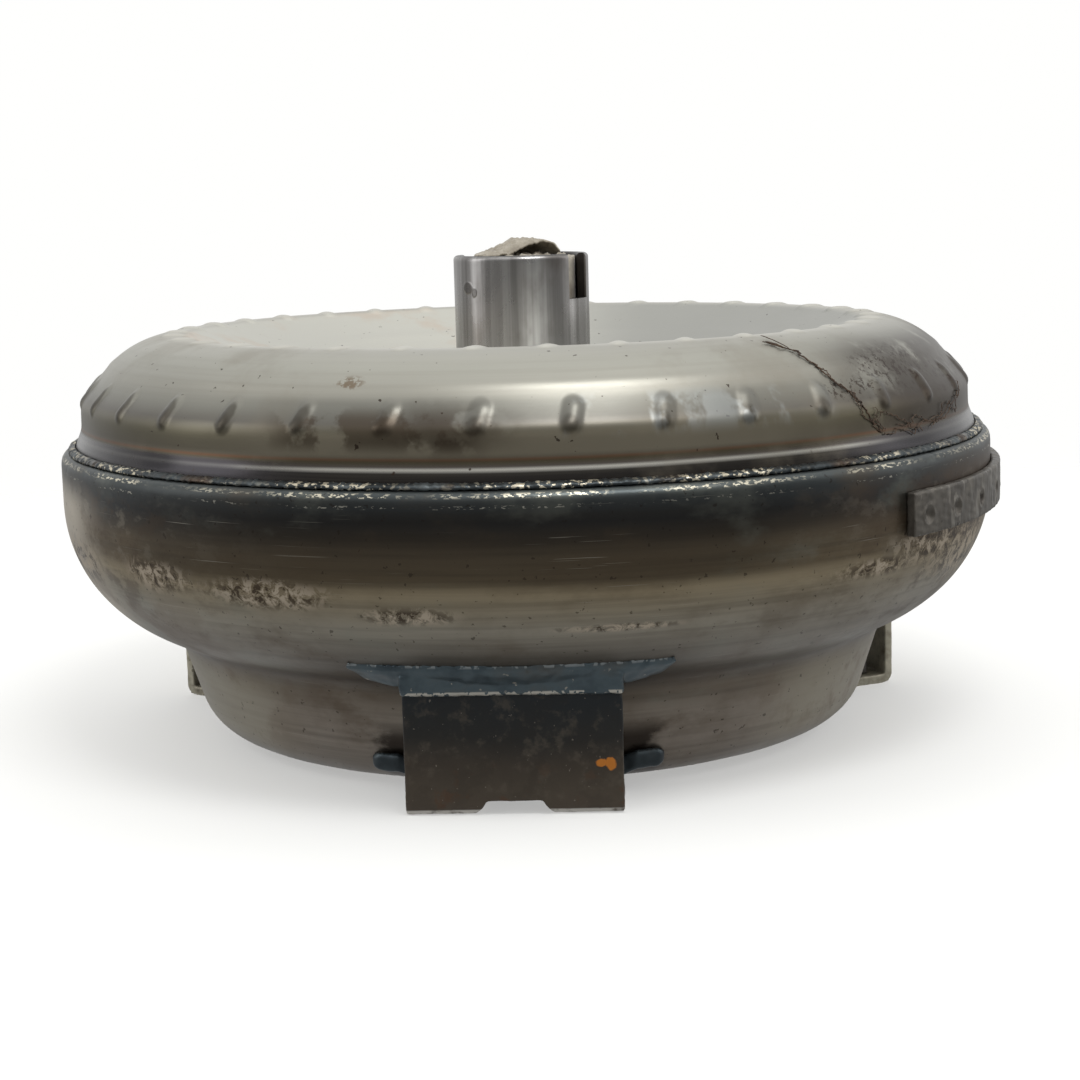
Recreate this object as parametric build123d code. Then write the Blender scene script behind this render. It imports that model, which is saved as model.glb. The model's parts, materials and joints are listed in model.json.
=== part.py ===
from build123d import *
import os
from math import cos, radians, sin, tan

# Torque converter, millimetres. +Z runs along the axis from the engine side up to the pump hub.
# The origin is on the axis, in the plane of the three bracket feet. Bracket 1 faces -Y.

SEAT = 0.1  # clearance of welds and seats on curved faces

# --- front cover ---
COVER_R = 152.0  # outer radius of the rim
COVER_WALL = 4.5
BOWL_WIDTH = 34.8  # from the waist out to the rim
WAIST_R = COVER_R - BOWL_WIDTH  # where the drum meets the bowl
WAIST_Z = 35.3
WAIST_FILLET = 12.0
BOWL_RISE = 15.1
BOWL_Z = WAIST_Z + BOWL_RISE
BOWL_FILLET = 45.0
DRUM_TAPER = 10.5
DRUM_R = WAIST_R - DRUM_TAPER  # lower drum, radius of its virtual bottom corner
DRUM_CORNER = 17.0
FLOOR_Z = 2.0  # underside of the drum above the feet
LIP_Z = 96.5
LIP_FILLET = 2.5
CENTRE_R = 32.0  # raised centre of the drum floor
CENTRE_Z = 9.0
CENTRE_SLOPE = 12.0

# --- impeller shell ---
SLIP_GAP = 0.3  # impeller foot inside the cover rim
IMPELLER_WALL = 3.5
FOOT_R = COVER_R - COVER_WALL - SLIP_GAP
FOOT_DEPTH = 8.0  # how far the foot reaches down into the cover
FOOT_FLARE = 2.4
IMPELLER_R = FOOT_R - FOOT_FLARE  # vertical wall above the flared foot
IMPELLER_RISE = 35.7
CREST_Z = LIP_Z + IMPELLER_RISE
SHOULDER_WIDTH = 17.3
SHOULDER_HEIGHT = 19.9
SHOULDER_R = IMPELLER_R - SHOULDER_WIDTH
CREST_WIDTH = 16.0
CREST_R = SHOULDER_R - CREST_WIDTH
DISH_DEPTH = 25.2
HUB_SEAT_Z = CREST_Z - DISH_DEPTH
TAB_COUNT = 35  # impeller blades, and the raised tab heads on the shell
TAB_PHASE = -2.4
CREST_TAB_PHASE = 6.1
TAB_HEAD_R = 2.0
TAB_HEAD_LENGTH = 7.0  # straight part of a tab head
WALL_TAB_SINK = 3.8  # a head's middle inside the wall's radius
WALL_TAB_DROP = 17.0  # and below the crest
CREST_TAB_OUT = 2.0
CREST_TAB_DROP = 1.2
SEAM_TURN = 3.8  # turns the shell so that its seam line runs between two heads

# --- pump hub ---
HUB_R = 22.2
HUB_WALL = 3.2
HUB_BORE_R = HUB_R - HUB_WALL
HUB_LENGTH = 47.7
HUB_TOP = HUB_SEAT_Z + HUB_LENGTH
HUB_FLANGE = 11.0
HUB_FLANGE_R = HUB_R + HUB_FLANGE
HUB_SEAT_R = HUB_FLANGE_R + 12.8  # where the shell's dish turns flat around the flange
SLOT_WIDTH = 11.0
SLOT_DEPTH = 14.5
SLOT_ANGLE = 61.0

# --- mounting brackets ---
BRACKET_COUNT = 3
BRACKET_STAND = 10.0
BRACKET_FACE = WAIST_R + BRACKET_STAND  # outer face of the upright plate from the axis
BRACKET_WIDTH = 62.4
BRACKET_PLATE = 3.2
FOOT_LENGTH = 23.7
FOOT_INNER = BRACKET_FACE - FOOT_LENGTH
BEND_R = 3.5
NOTCH_WIDTH = 17.2
NOTCH_HEIGHT = 4.2
NOTCH_FLARE = 2.8
NUT_INSET = 10.2  # bolt circle inside the plate's face
BOLT_CIRCLE_R = BRACKET_FACE - NUT_INSET
NUT_SPACING = 42.0  # between the two nuts of one bracket
NUT_FLATS = 13.0
NUT_HEIGHT = 6.5
THREAD_R = 3.4
BOLT_CLEARANCE_R = 4.25
WELD_HALF_ANGLE = 20.0
WELD_GAP = 1.4  # lower bead clear of the nuts
WELD_LOW = WAIST_Z + 0.4  # lower toe of the upper bead on the plate

# --- balance weight and pilot ---
WEIGHT_THICK = 3.0
WEIGHT_WIDTH = 13.0
WEIGHT_BELOW_LIP = 9.7
WEIGHT_Z = (LIP_Z - WEIGHT_BELOW_LIP - WEIGHT_WIDTH, LIP_Z - WEIGHT_BELOW_LIP)
WEIGHT_ANGLES = (48.5, 97.5)
PILOT_R = 16.0
PILOT_FLANGE_R = 22.0
PILOT_NOSE_Z = 0.8

# --- needle thrust bearings ---
THRUST_GAP = 0.1
NEEDLE_R = 1.1
NEEDLE_LENGTH = 9.5
NEEDLE_COUNT = 24
RACE_THICK = 1.0
BEARING_R = (22.0, 36.0)
CAGE_THICK = 1.4
NEEDLE_MIDDLE = RACE_THICK + THRUST_GAP + NEEDLE_R
BEARING_HEIGHT = 2 * NEEDLE_MIDDLE
BEARING_SEAT = 0.05

# --- stator and one-way clutch, stacked down from the impeller hub ---
STATOR_HEIGHT = 24.0
STATOR_TOP = HUB_SEAT_Z - IMPELLER_WALL - BEARING_HEIGHT - 2 * BEARING_SEAT
STATOR_Z = (STATOR_TOP - STATOR_HEIGHT, STATOR_TOP)
STATOR_BORE_R = 40.2
STATOR_HUB_R = STATOR_BORE_R + 4.8
STATOR_RING_R = (71.5, 74.0)
STATOR_BLADES = 19
RACE_INSET = 2.0
RACE_Z = (STATOR_Z[0] + RACE_INSET, STATOR_Z[1] - RACE_INSET)
OUTER_RACE_R = STATOR_BORE_R - 0.3
CAM_R = 26.6
INNER_RACE_R = 25.5
RACE_BORE_R = 17.6
RACE_SPLINES = 26
ROLLER_COUNT = 8
ROLLER_R = 3.4
ROLLER_GAP = 0.3
POCKET_HALF = 8.2
CAP_GAP = 0.1
CAP_STAND = 0.5  # the lower cap stands out under the wheel
LOW_BEARING = STATOR_Z[0] - CAP_STAND - BEARING_HEIGHT - BEARING_SEAT
HIGH_BEARING = STATOR_Z[1] + BEARING_SEAT

# --- torus inside the shells ---
MID_LOW = LIP_Z - 3.8  # open edge of the turbine
MID_HIGH = LIP_Z - 1.2  # open edge of the impeller
TURBINE_GAP = 0.7
TURBINE_R = IMPELLER_R - IMPELLER_WALL - TURBINE_GAP
TURBINE_WALL = 2.0
TURBINE_BLADES = 31
CORE_INNER_R = STATOR_RING_R[1] + 3.5
CORE_OUTER_R = TURBINE_R - 25.1
CORE_DEPTH = 14.7
CORE_FILLET = 13.5
CORE_WALL = 1.0
BLADE = 1.0
BLADE_GAP = 0.25
BLADE_ROOT_R = 62.0
STATOR_ROOM_R = STATOR_RING_R[1] + 1.2  # blades stay outside this radius beside the stator

# --- turbine hub ---
WASHER_THICK = 4.4
SPLINE_R = 13.8
SPLINE_TOOTH = 1.0
HUB_SPLINES = 24
BARREL_R = 24.0
BARREL_BOTTOM = CENTRE_Z + COVER_WALL + THRUST_GAP + WASHER_THICK
PLATE_Z = BARREL_BOTTOM + 16.0  # driven plate of the damper
PLATE_THICK = 4.0
PLATE_BORE_R = BARREL_R + 6.0
DAMPER_FLANGE_R = 48.0
DAMPER_FLANGE = 5.5
NECK_R = BARREL_R + 3.0
TURBINE_FLANGE_R = 56.0
TURBINE_FLANGE = 6.0
TURBINE_HUB_TOP = LOW_BEARING - BEARING_SEAT
TURBINE_DISH = 10.5
TURBINE_BOTTOM = TURBINE_HUB_TOP - TURBINE_DISH
RIVET_R = 2.5
RIVET_HEAD_R = 4.0
RIVET_HEAD = 1.8
DAMPER_RIVETS = 8
DAMPER_RIVET_R = (PLATE_BORE_R + DAMPER_FLANGE_R) / 2
TURBINE_RIVETS = 12
TURBINE_RIVET_R = TURBINE_FLANGE_R - 6.0

# --- torsion damper ---
SPRING_COUNT = 6
SPRING_PITCH_R = 78.0
SPRING_OD = 19.2
SPRING_WIRE_R = 1.8
SPRING_LENGTH = 46.0
SPRING_TURNS = 7
WINDOW_GAP = 0.4
DRIVE_R = DRUM_R - 2.7
DRIVEN_R = DRIVE_R - 8.5
DRIVE_BORE_R = 58.0
DRIVE_THICK = 2.5
DRIVE_GAP = 1.5  # from each drive plate to the driven plate
SPACER_PITCH_R = DRIVE_R - 4.0
TAB_WIDTH = 11.0
TAB_THICK = 2.0
TAB_INSET = 0.8

# --- lock-up piston ---
LINING_R = (70.0, 91.0)
LINING = 1.4
PISTON_CLEAR = 1.5  # lining above the cover's floor
PISTON_WALL = 3.0
PISTON_LOW = FLOOR_Z + COVER_WALL + PISTON_CLEAR + LINING
PISTON_HIGH = BARREL_BOTTOM + 2.0
PISTON_STEP = (52.0, 66.0)
PISTON_FILLET = 8.0
PISTON_RIM_TOP = PISTON_LOW + 14.6
PISTON_FIT = 0.15
TAB_BOTTOM = PISTON_RIM_TOP - 5.5
COLLAR_WALL = 4.0
COLLAR_Z = (BARREL_BOTTOM + 0.6, BARREL_BOTTOM + 9.0)
SEAL_GROOVE_Z = (BARREL_BOTTOM + 3.5, BARREL_BOTTOM + 5.7)
SEAL_DEPTH = 1.8

# --- rag in the hub bore ---
RAG_R = HUB_BORE_R - 0.4
RAG_DEPTH = 19.7
RAG_RISE = 5.5
RAG_BOTTOM = HUB_TOP - RAG_DEPTH
RAG_TOP = HUB_TOP + RAG_RISE


def unit(a, b):
    """Direction from one (r, z) point to the next."""
    run = Vector(b[0] - a[0], 0, b[1] - a[1])
    return run.normalized()


def rounded_loop(corners):
    """Closed face in the XZ plane; a corner's third number is its radius, the first corner is sharp."""
    loop = list(corners) + [corners[0]]
    edges = []
    last = Vector(loop[0][0], 0, loop[0][1])
    for before, corner, after in zip(loop, loop[1:], loop[2:]):
        point = Vector(corner[0], 0, corner[1])
        radius = corner[2] if len(corner) > 2 else 0
        if radius:
            back = unit(corner, before)
            ahead = unit(corner, after)
            half = radians(back.get_angle(ahead)) / 2
            start = point + back * (radius / tan(half))
            end = point + ahead * (radius / tan(half))
            middle = point + (back + ahead).normalized() * (radius / sin(half) - radius)
            edges.append(Edge.make_line(last, start))
            edges.append(Edge.make_three_point_arc(start, middle, end))
            last = end
        else:
            edges.append(Edge.make_line(last, point))
            last = point
    edges.append(Edge.make_line(last, Vector(loop[0][0], 0, loop[0][1])))
    return Face(Wire(edges))


def turned(corners):
    """Solid of revolution about the axis."""
    return revolve(rounded_loop(corners), Axis.Z)


def inset(corners, distance):
    """The same open outline moved to its left by a distance, with its radii to match."""
    moved = []
    for i, corner in enumerate(corners):
        ahead = unit(corner, corners[i + 1]) if i + 1 < len(corners) else unit(corners[i - 1], corner)
        back = unit(corners[i - 1], corner) if i else ahead
        left_back = Vector(-back.Z, 0, back.X)
        left_ahead = Vector(-ahead.Z, 0, ahead.X)
        shift = (left_back + left_ahead) * (distance / (1 + left_back.dot(left_ahead)))
        turn = back.X * ahead.Z - back.Z * ahead.X
        radius = corner[2] if len(corner) > 2 else 0
        if radius:
            radius = max(radius - (distance if turn > 0 else -distance), 0)
        moved.append((corner[0] + shift.X, corner[1] + shift.Z, radius))
    return moved


def shell(corners, wall):
    """Pressed shell of one wall thickness, on the left of its outline."""
    return turned(list(corners) + inset(corners, wall)[::-1])


def ring(inner, outer, low, high):
    """Plain ring between two radii and two heights."""
    return turned([(inner, low), (outer, low), (outer, high), (inner, high)])


def disc(radius, low, high):
    """Solid round bar on the axis."""
    return Pos(0, 0, low) * Cylinder(radius, high - low, align=(Align.CENTER, Align.CENTER, Align.MIN))


def block(x, y, z):
    """Box between pairs of limits."""
    size = (x[1] - x[0], y[1] - y[0], z[1] - z[0])
    return Pos(x[0], y[0], z[0]) * Box(*size, align=(Align.MIN, Align.MIN, Align.MIN))


def around(shape, count, start=0.0):
    """Evenly spaced copies about the axis."""
    return [Rot(0, 0, start + i * 360 / count) * shape for i in range(count)]


def sector(low_angle, high_angle, reach, low, high):
    """Wedge about the axis; angles run from -Y towards +X."""
    a, b = radians(low_angle), radians(high_angle)
    tip = 2 * reach
    face = Face(Wire(Polyline(
        (0, 0, low), (tip * sin(a), -tip * cos(a), low), (tip * sin(b), -tip * cos(b), low), close=True).edges()))
    return extrude(face, high - low, dir=(0, 0, 1))


def solids_of(shape):
    """Plain list of the solids of a shape or a list of shapes."""
    shapes = shape if isinstance(shape, (list, tuple)) else [shape]
    return [s for item in shapes for s in item.solids()]


def rivet(radius, low, high):
    """Round rivet with a head at each end of its grip, at a radius on -Y."""
    shank = disc(RIVET_R, low, high)
    heads = disc(RIVET_HEAD_R, low - RIVET_HEAD, low) + disc(RIVET_HEAD_R, high, high + RIVET_HEAD)
    return Pos(0, -radius, 0) * (shank + heads)


def rivet_holes(radius, count, low, high):
    """Clearance holes for a circle of rivets."""
    return around(Pos(0, -radius, 0) * disc(RIVET_R + SEAT, low, high), count)


# ---------------------------------------------------------------- outer shells

COVER_OUTLINE = [
    (0, CENTRE_Z),
    (CENTRE_R, CENTRE_Z, 4),
    (CENTRE_R + CENTRE_SLOPE, FLOOR_Z, 5),
    (DRUM_R, FLOOR_Z, DRUM_CORNER),
    (WAIST_R, WAIST_Z, WAIST_FILLET),
    (COVER_R, BOWL_Z, BOWL_FILLET),
    (COVER_R, LIP_Z),
]
IMPELLER_OUTLINE = [
    (FOOT_R, LIP_Z - FOOT_DEPTH),
    (FOOT_R, LIP_Z + 1.7, 5),
    (IMPELLER_R + 0.2, LIP_Z + 7, 4),
    (IMPELLER_R, CREST_Z - SHOULDER_HEIGHT, 6),
    (SHOULDER_R, CREST_Z, 30),
    (CREST_R, CREST_Z, 10),
    (HUB_SEAT_R, HUB_SEAT_Z, 10),
    (HUB_FLANGE_R + SLIP_GAP, HUB_SEAT_Z),
]


def front_cover():
    """Deep pressed cover: flat drum floor, cone, bowl and rim."""
    rounded_rim = (*COVER_OUTLINE[-1], LIP_FILLET)
    return turned(COVER_OUTLINE[:-1] + [rounded_rim] + inset(COVER_OUTLINE, COVER_WALL)[::-1])


def cover_envelope():
    """Everything inside the cover's outer face, a seat's clearance larger."""
    return turned(inset(COVER_OUTLINE, -SEAT) + [(0, LIP_Z)])


def tab_head():
    """Raised head of a blade tab: a stubby capsule along Z."""
    half = TAB_HEAD_LENGTH / 2
    outline = Wire([
        Edge.make_line((0, 0, -half - TAB_HEAD_R), (0, 0, half + TAB_HEAD_R)),
        Edge.make_three_point_arc((0, 0, half + TAB_HEAD_R), (TAB_HEAD_R * sin(radians(45)), 0,
                                  half + TAB_HEAD_R * cos(radians(45))), (TAB_HEAD_R, 0, half)),
        Edge.make_line((TAB_HEAD_R, 0, half), (TAB_HEAD_R, 0, -half)),
        Edge.make_three_point_arc((TAB_HEAD_R, 0, -half), (TAB_HEAD_R * sin(radians(45)), 0,
                                  -half - TAB_HEAD_R * cos(radians(45))), (0, 0, -half - TAB_HEAD_R)),
    ])
    return revolve(Face(outline), Axis.Z)


def impeller_shell():
    """Rear shell with two rows of raised tab heads."""
    body = Rot(0, 0, SEAM_TURN) * shell(IMPELLER_OUTLINE, IMPELLER_WALL)
    wall_row = Pos(0, -IMPELLER_R + WALL_TAB_SINK, CREST_Z - WALL_TAB_DROP) * Rot(-40, 0, 0) * Rot(0, 17, 0) * tab_head()
    crest_row = Pos(0, -CREST_R - CREST_TAB_OUT, CREST_Z - CREST_TAB_DROP) * Rot(-88, 0, 0) * Rot(0, 20, 0) * tab_head()
    heads = around(wall_row, TAB_COUNT, TAB_PHASE) + around(crest_row, TAB_COUNT, CREST_TAB_PHASE)
    return body + heads


def seam_weld():
    """Bead between the cover's lip and the impeller foot."""
    inner = FOOT_R + SEAT / 2
    return turned([(inner, LIP_Z), (inner + 2.4, LIP_Z), (inner + 2.2, LIP_Z + 1.2, 0.6), (inner, LIP_Z + 2.0)])


# ---------------------------------------------------------------- pump hub

def impeller_hub():
    """Steel sleeve that drives the pump, with a flange for the shell and two end slots."""
    wall_bottom = HUB_SEAT_Z - IMPELLER_WALL
    sleeve = turned([
        (HUB_BORE_R, wall_bottom),
        (HUB_FLANGE_R, wall_bottom),
        (HUB_FLANGE_R, HUB_SEAT_Z),
        (HUB_R, HUB_SEAT_Z),
        (HUB_R, HUB_TOP - 0.8),
        (HUB_R - 0.8, HUB_TOP),
        (HUB_BORE_R + 0.6, HUB_TOP),
        (HUB_BORE_R, HUB_TOP - 0.6),
    ])
    slot = block((-SLOT_WIDTH / 2, SLOT_WIDTH / 2), (-HUB_R - 1, HUB_R + 1), (HUB_TOP - SLOT_DEPTH, HUB_TOP + 1))
    return sleeve - Rot(0, 0, SLOT_ANGLE) * slot


def hub_weld():
    """Ring bead over the joint of hub flange and shell."""
    middle = HUB_FLANGE_R + SLIP_GAP / 2
    return turned([
        (middle - 2.2, HUB_SEAT_Z),
        (middle + 2.2, HUB_SEAT_Z),
        (middle + 1.6, HUB_SEAT_Z + 1.3, 0.6),
        (middle - 1.6, HUB_SEAT_Z + 1.3, 0.6),
    ])


def bore_rag():
    """Wad of rag in the hub bore, with a rumpled head above the end."""
    wad = disc(RAG_R, RAG_BOTTOM, HUB_TOP - 0.5)
    head = Pos(1, 0, HUB_TOP - 0.5) * Cone(RAG_R - 2.4, 9.0, RAG_TOP - HUB_TOP + 0.5,
                                           align=(Align.CENTER, Align.CENTER, Align.MIN))
    return wad + head


# ---------------------------------------------------------------- brackets, welds, nuts, weight, pilot

def bracket_blank():
    """Angle bracket on -Y: upright plate, bend and foot, before its holes."""
    profile = rounded_loop([
        (-FOOT_INNER, 0),
        (-FOOT_INNER, BRACKET_PLATE),
        (-BRACKET_FACE + BRACKET_PLATE, BRACKET_PLATE, 0.6),
        (-BRACKET_FACE + BRACKET_PLATE, BOWL_Z),
        (-BRACKET_FACE, BOWL_Z),
        (-BRACKET_FACE, 0, BEND_R),
    ])
    upright = Rot(0, 0, 90) * profile
    return extrude(upright, BRACKET_WIDTH / 2, dir=(1, 0, 0)) + extrude(upright, BRACKET_WIDTH / 2, dir=(-1, 0, 0))


def notch():
    """Opening through the middle of the foot and the bottom of the plate."""
    half = NOTCH_WIDTH / 2
    wide = half + NOTCH_FLARE
    outline = rounded_loop([
        (0, -1),
        (wide, -1),
        (wide, 0),
        (half, NOTCH_FLARE, 2.4),
        (half, NOTCH_HEIGHT, 1.2),
        (-half, NOTCH_HEIGHT, 1.2),
        (-half, NOTCH_FLARE, 2.4),
        (-wide, 0),
        (-wide, -1),
    ])
    return extrude(outline, BRACKET_FACE + 1, dir=(0, -1, 0))


def nut_places():
    """The two bolt axes of the bracket on -Y."""
    across = NUT_SPACING / 2
    depth = -(BOLT_CIRCLE_R ** 2 - across ** 2) ** 0.5
    return [(-across, depth), (across, depth)]


def bracket(envelope):
    """Bracket on -Y, cut to the cover, with its notch and bolt holes."""
    plate = bracket_blank() - envelope - notch()
    for x, y in nut_places():
        plate -= Pos(x, y, 0) * disc(BOLT_CLEARANCE_R, -1, BRACKET_PLATE + 1)
    return plate.solids().sort_by(SortBy.VOLUME)[-1]


def weld_nut(x, y):
    """Hexagon weld nut on top of a foot, one flat towards the drum."""
    hexagon = RegularPolygon(NUT_FLATS / 2, 6, major_radius=False, rotation=0)
    body = extrude(hexagon, NUT_HEIGHT) - disc(THREAD_R, -1, NUT_HEIGHT + 1)
    return Pos(x, y, BRACKET_PLATE) * Rot(0, 0, 30) * body


def upper_weld(envelope):
    """Heavy bead along the top of a bracket, running out on the bowl past both ends."""
    z = WELD_LOW
    face = BRACKET_FACE
    on_bowl = turned([(face - 3, z + 2), (face + 2.1, z + 2.4), (face + 6.8, z + 6.6), (face + 9.7, z + 10.5),
                      (face + 1, z + 10.5)])
    on_bowl &= sector(-WELD_HALF_ANGLE, WELD_HALF_ANGLE, COVER_R, 0, LIP_Z)
    run = rounded_loop([(face - 1, z), (face + 1.6, z), (face + 4.2, z + 6), (face - 1, z + 6)])
    on_plate = extrude(Rot(0, 0, -90) * run, BRACKET_WIDTH / 2, dir=(1, 0, 0))
    on_plate += extrude(Rot(0, 0, -90) * run, BRACKET_WIDTH / 2, dir=(-1, 0, 0))
    bead = on_bowl + on_plate - envelope
    bead -= bracket_blank()
    return bead.solids().sort_by(SortBy.VOLUME)[-1]


def lower_weld(envelope):
    """Bead between a foot's inner edge and the drum's bottom corner."""
    low = BRACKET_PLATE
    nut_side = BOLT_CIRCLE_R - NUT_FLATS / 2 - WELD_GAP
    bead = turned([(FOOT_INNER + 0.4, low), (nut_side, low), (nut_side, low + 5), (FOOT_INNER + 4.5, low + 8),
                   (FOOT_INNER + 0.4, low + 8)])
    bead &= sector(-WELD_HALF_ANGLE - 1, WELD_HALF_ANGLE + 1, COVER_R, 0, LIP_Z)
    return (bead - envelope).solids().sort_by(SortBy.VOLUME)[-1]


def balance_weight():
    """Curved plate spot-welded on the rim."""
    inner = COVER_R + SEAT
    low, high = WEIGHT_Z
    strip = turned([(inner, low), (inner + WEIGHT_THICK, low), (inner + WEIGHT_THICK, high), (inner, high)])
    return strip & sector(*WEIGHT_ANGLES, COVER_R, 0, LIP_Z)


def crank_pilot():
    """Stub that centres the converter in the crankshaft."""
    return turned([
        (0, PILOT_NOSE_Z),
        (PILOT_R - 1.2, PILOT_NOSE_Z),
        (PILOT_R, PILOT_NOSE_Z + 1.2),
        (PILOT_R, CENTRE_Z - 1.5),
        (PILOT_FLANGE_R, CENTRE_Z - 1.5),
        (PILOT_FLANGE_R, CENTRE_Z),
        (0, CENTRE_Z),
    ])


# ---------------------------------------------------------------- impeller and turbine

def blade_sheet(inner, middle, outer, low, high):
    """Thin curved upright sheet through three points of the plan."""
    side = Vector(BLADE, 0, 0)
    points = [Vector(*p, low) for p in (inner, middle, outer)]
    near = Edge.make_three_point_arc(*points)
    far = Edge.make_three_point_arc(*[p + side for p in points])
    ends = [Edge.make_line(points[0], points[0] + side), Edge.make_line(points[2], points[2] + side)]
    return extrude(Face(Wire([near, far] + ends)), high - low, dir=(0, 0, 1))


def core_corners(edge, rise):
    """Outline of a core ring from its inner to its outer edge, rising or falling from the open edge."""
    far = edge + rise
    return [(CORE_INNER_R, edge), (CORE_INNER_R, far, CORE_FILLET), (CORE_OUTER_R, far, CORE_FILLET),
            (CORE_OUTER_R, edge)]


def impeller_core():
    """Upper half of the hollow core."""
    return shell(core_corners(MID_HIGH, CORE_DEPTH), -CORE_WALL)


def turbine_core():
    """Lower half of the hollow core."""
    return shell(core_corners(MID_LOW, -CORE_DEPTH), CORE_WALL)


def impeller_blades():
    """Curved blades between the impeller shell and its core ring."""
    inner = inset(IMPELLER_OUTLINE, IMPELLER_WALL + BLADE_GAP)
    slope = (inner[5][1] - inner[6][1]) / (inner[5][0] - inner[6][0])
    root_z = inner[6][1] + slope * (BLADE_ROOT_R - inner[6][0])
    corners = [(inner[0][0], MID_HIGH)] + inner[1:6] + [
        (BLADE_ROOT_R, root_z),
        (BLADE_ROOT_R, root_z - 5),
        (STATOR_ROOM_R, STATOR_Z[1] + 1.5),
        (STATOR_ROOM_R, MID_HIGH),
    ] + inset(core_corners(MID_HIGH, CORE_DEPTH), BLADE_GAP)
    sheet = blade_sheet((17, -58), (12, 2.5 - CORE_OUTER_R), (-7.5, -FOOT_R), MID_HIGH - 1, CREST_Z)
    return around(largest(turned(corners) & sheet), TAB_COUNT)


def turbine_outline():
    """Outer, lower face of the turbine shell from its hub seat to its open edge."""
    return [(TURBINE_FLANGE_R - 14, TURBINE_HUB_TOP), (TURBINE_FLANGE_R + 4, TURBINE_HUB_TOP, 6),
            (96, TURBINE_BOTTOM, 24), (TURBINE_R, TURBINE_BOTTOM, 31), (TURBINE_R, MID_LOW)]


def turbine_shell():
    """Pressed turbine shell, riveted to the hub flange."""
    holes = rivet_holes(TURBINE_RIVET_R, TURBINE_RIVETS, TURBINE_HUB_TOP - 1, TURBINE_HUB_TOP + TURBINE_WALL + 1)
    return shell(turbine_outline(), TURBINE_WALL) - holes


def turbine_blades():
    """Blades of the turbine, curved the other way."""
    inner = inset(turbine_outline(), TURBINE_WALL + BLADE_GAP)
    slope = (inner[1][1] - inner[2][1]) / (inner[1][0] - inner[2][0])
    root_z = inner[2][1] + slope * (BLADE_ROOT_R - inner[2][0])
    core = inset(core_corners(MID_LOW, -CORE_DEPTH), -BLADE_GAP)
    corners = [(inner[4][0], MID_LOW)] + core[::-1] + [
        (STATOR_ROOM_R, MID_LOW),
        (STATOR_ROOM_R, STATOR_Z[0] + 2),
        (BLADE_ROOT_R, root_z + 4),
        (BLADE_ROOT_R, root_z),
        inner[2],
        inner[3],
    ]
    sheet = blade_sheet((-14, -58), (-12, 7.5 - CORE_OUTER_R), (6, -IMPELLER_R), TURBINE_BOTTOM, MID_LOW + 1)
    return around(largest(turned(corners) & sheet), TURBINE_BLADES)


def largest(shape):
    """The biggest solid of a shape."""
    return shape.solids().sort_by(SortBy.VOLUME)[-1]


def splined(bore, count, low, high, width):
    """Inward spline teeth of a bore, as a set of keys."""
    key = block((-width / 2, width / 2), (-bore - 0.5, -bore + SPLINE_TOOTH), (low, high))
    return around(key, count)


def turbine_hub():
    """Splined hub: damper flange below, turbine flange above, barrel for the piston."""
    damper_face = PLATE_Z + PLATE_THICK
    flange_top = damper_face + DAMPER_FLANGE
    turbine_face = TURBINE_HUB_TOP - TURBINE_FLANGE
    body = turned([
        (SPLINE_R, BARREL_BOTTOM),
        (BARREL_R, BARREL_BOTTOM),
        (BARREL_R, SEAL_GROOVE_Z[0]),
        (BARREL_R - SEAL_DEPTH, SEAL_GROOVE_Z[0]),
        (BARREL_R - SEAL_DEPTH, SEAL_GROOVE_Z[1]),
        (BARREL_R, SEAL_GROOVE_Z[1]),
        (BARREL_R, PLATE_Z),
        (PLATE_BORE_R - SEAT, PLATE_Z),
        (PLATE_BORE_R - SEAT, damper_face),
        (DAMPER_FLANGE_R, damper_face),
        (DAMPER_FLANGE_R, flange_top),
        (NECK_R, flange_top, 3),
        (NECK_R, turbine_face, 3),
        (TURBINE_FLANGE_R, turbine_face),
        (TURBINE_FLANGE_R, TURBINE_HUB_TOP),
        (SPLINE_R, TURBINE_HUB_TOP),
    ])
    body += splined(SPLINE_R, HUB_SPLINES, BARREL_BOTTOM + 4, TURBINE_HUB_TOP - 4, 1.8)
    body -= rivet_holes(DAMPER_RIVET_R, DAMPER_RIVETS, damper_face - 1, flange_top + 1)
    return body - rivet_holes(TURBINE_RIVET_R, TURBINE_RIVETS, turbine_face - 1, TURBINE_HUB_TOP + 1)


def turbine_rivets():
    """Rivets of the turbine shell."""
    low, high = TURBINE_HUB_TOP - TURBINE_FLANGE, TURBINE_HUB_TOP + TURBINE_WALL
    return around(rivet(TURBINE_RIVET_R, low, high), TURBINE_RIVETS)


def piston_seal():
    """Square ring in the hub barrel's groove."""
    low, high = SEAL_GROOVE_Z
    return ring(BARREL_R - SEAL_DEPTH + SEAT, BARREL_R + 0.05, low + SEAT, high - SEAT)


def thrust_washer():
    """Plain washer between the hub and the cover's centre."""
    return ring(SPLINE_R + 1.5, BARREL_R - 0.5, BARREL_BOTTOM - WASHER_THICK, BARREL_BOTTOM)


# ---------------------------------------------------------------- torsion damper

def spring_windows(low, high):
    """Rectangular windows for the springs."""
    half_length = SPRING_LENGTH / 2 + WINDOW_GAP
    half_width = SPRING_OD / 2 + WINDOW_GAP
    window = block((-half_length, half_length), (-SPRING_PITCH_R - half_width, -SPRING_PITCH_R + half_width),
                   (low, high))
    return around(window, SPRING_COUNT)


def driven_plate():
    """Middle plate of the damper, riveted to the hub."""
    plate = ring(PLATE_BORE_R, DRIVEN_R, PLATE_Z, PLATE_Z + PLATE_THICK)
    plate -= spring_windows(PLATE_Z - 1, PLATE_Z + PLATE_THICK + 1)
    return plate - rivet_holes(DAMPER_RIVET_R, DAMPER_RIVETS, PLATE_Z - 1, PLATE_Z + PLATE_THICK + 1)


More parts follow.
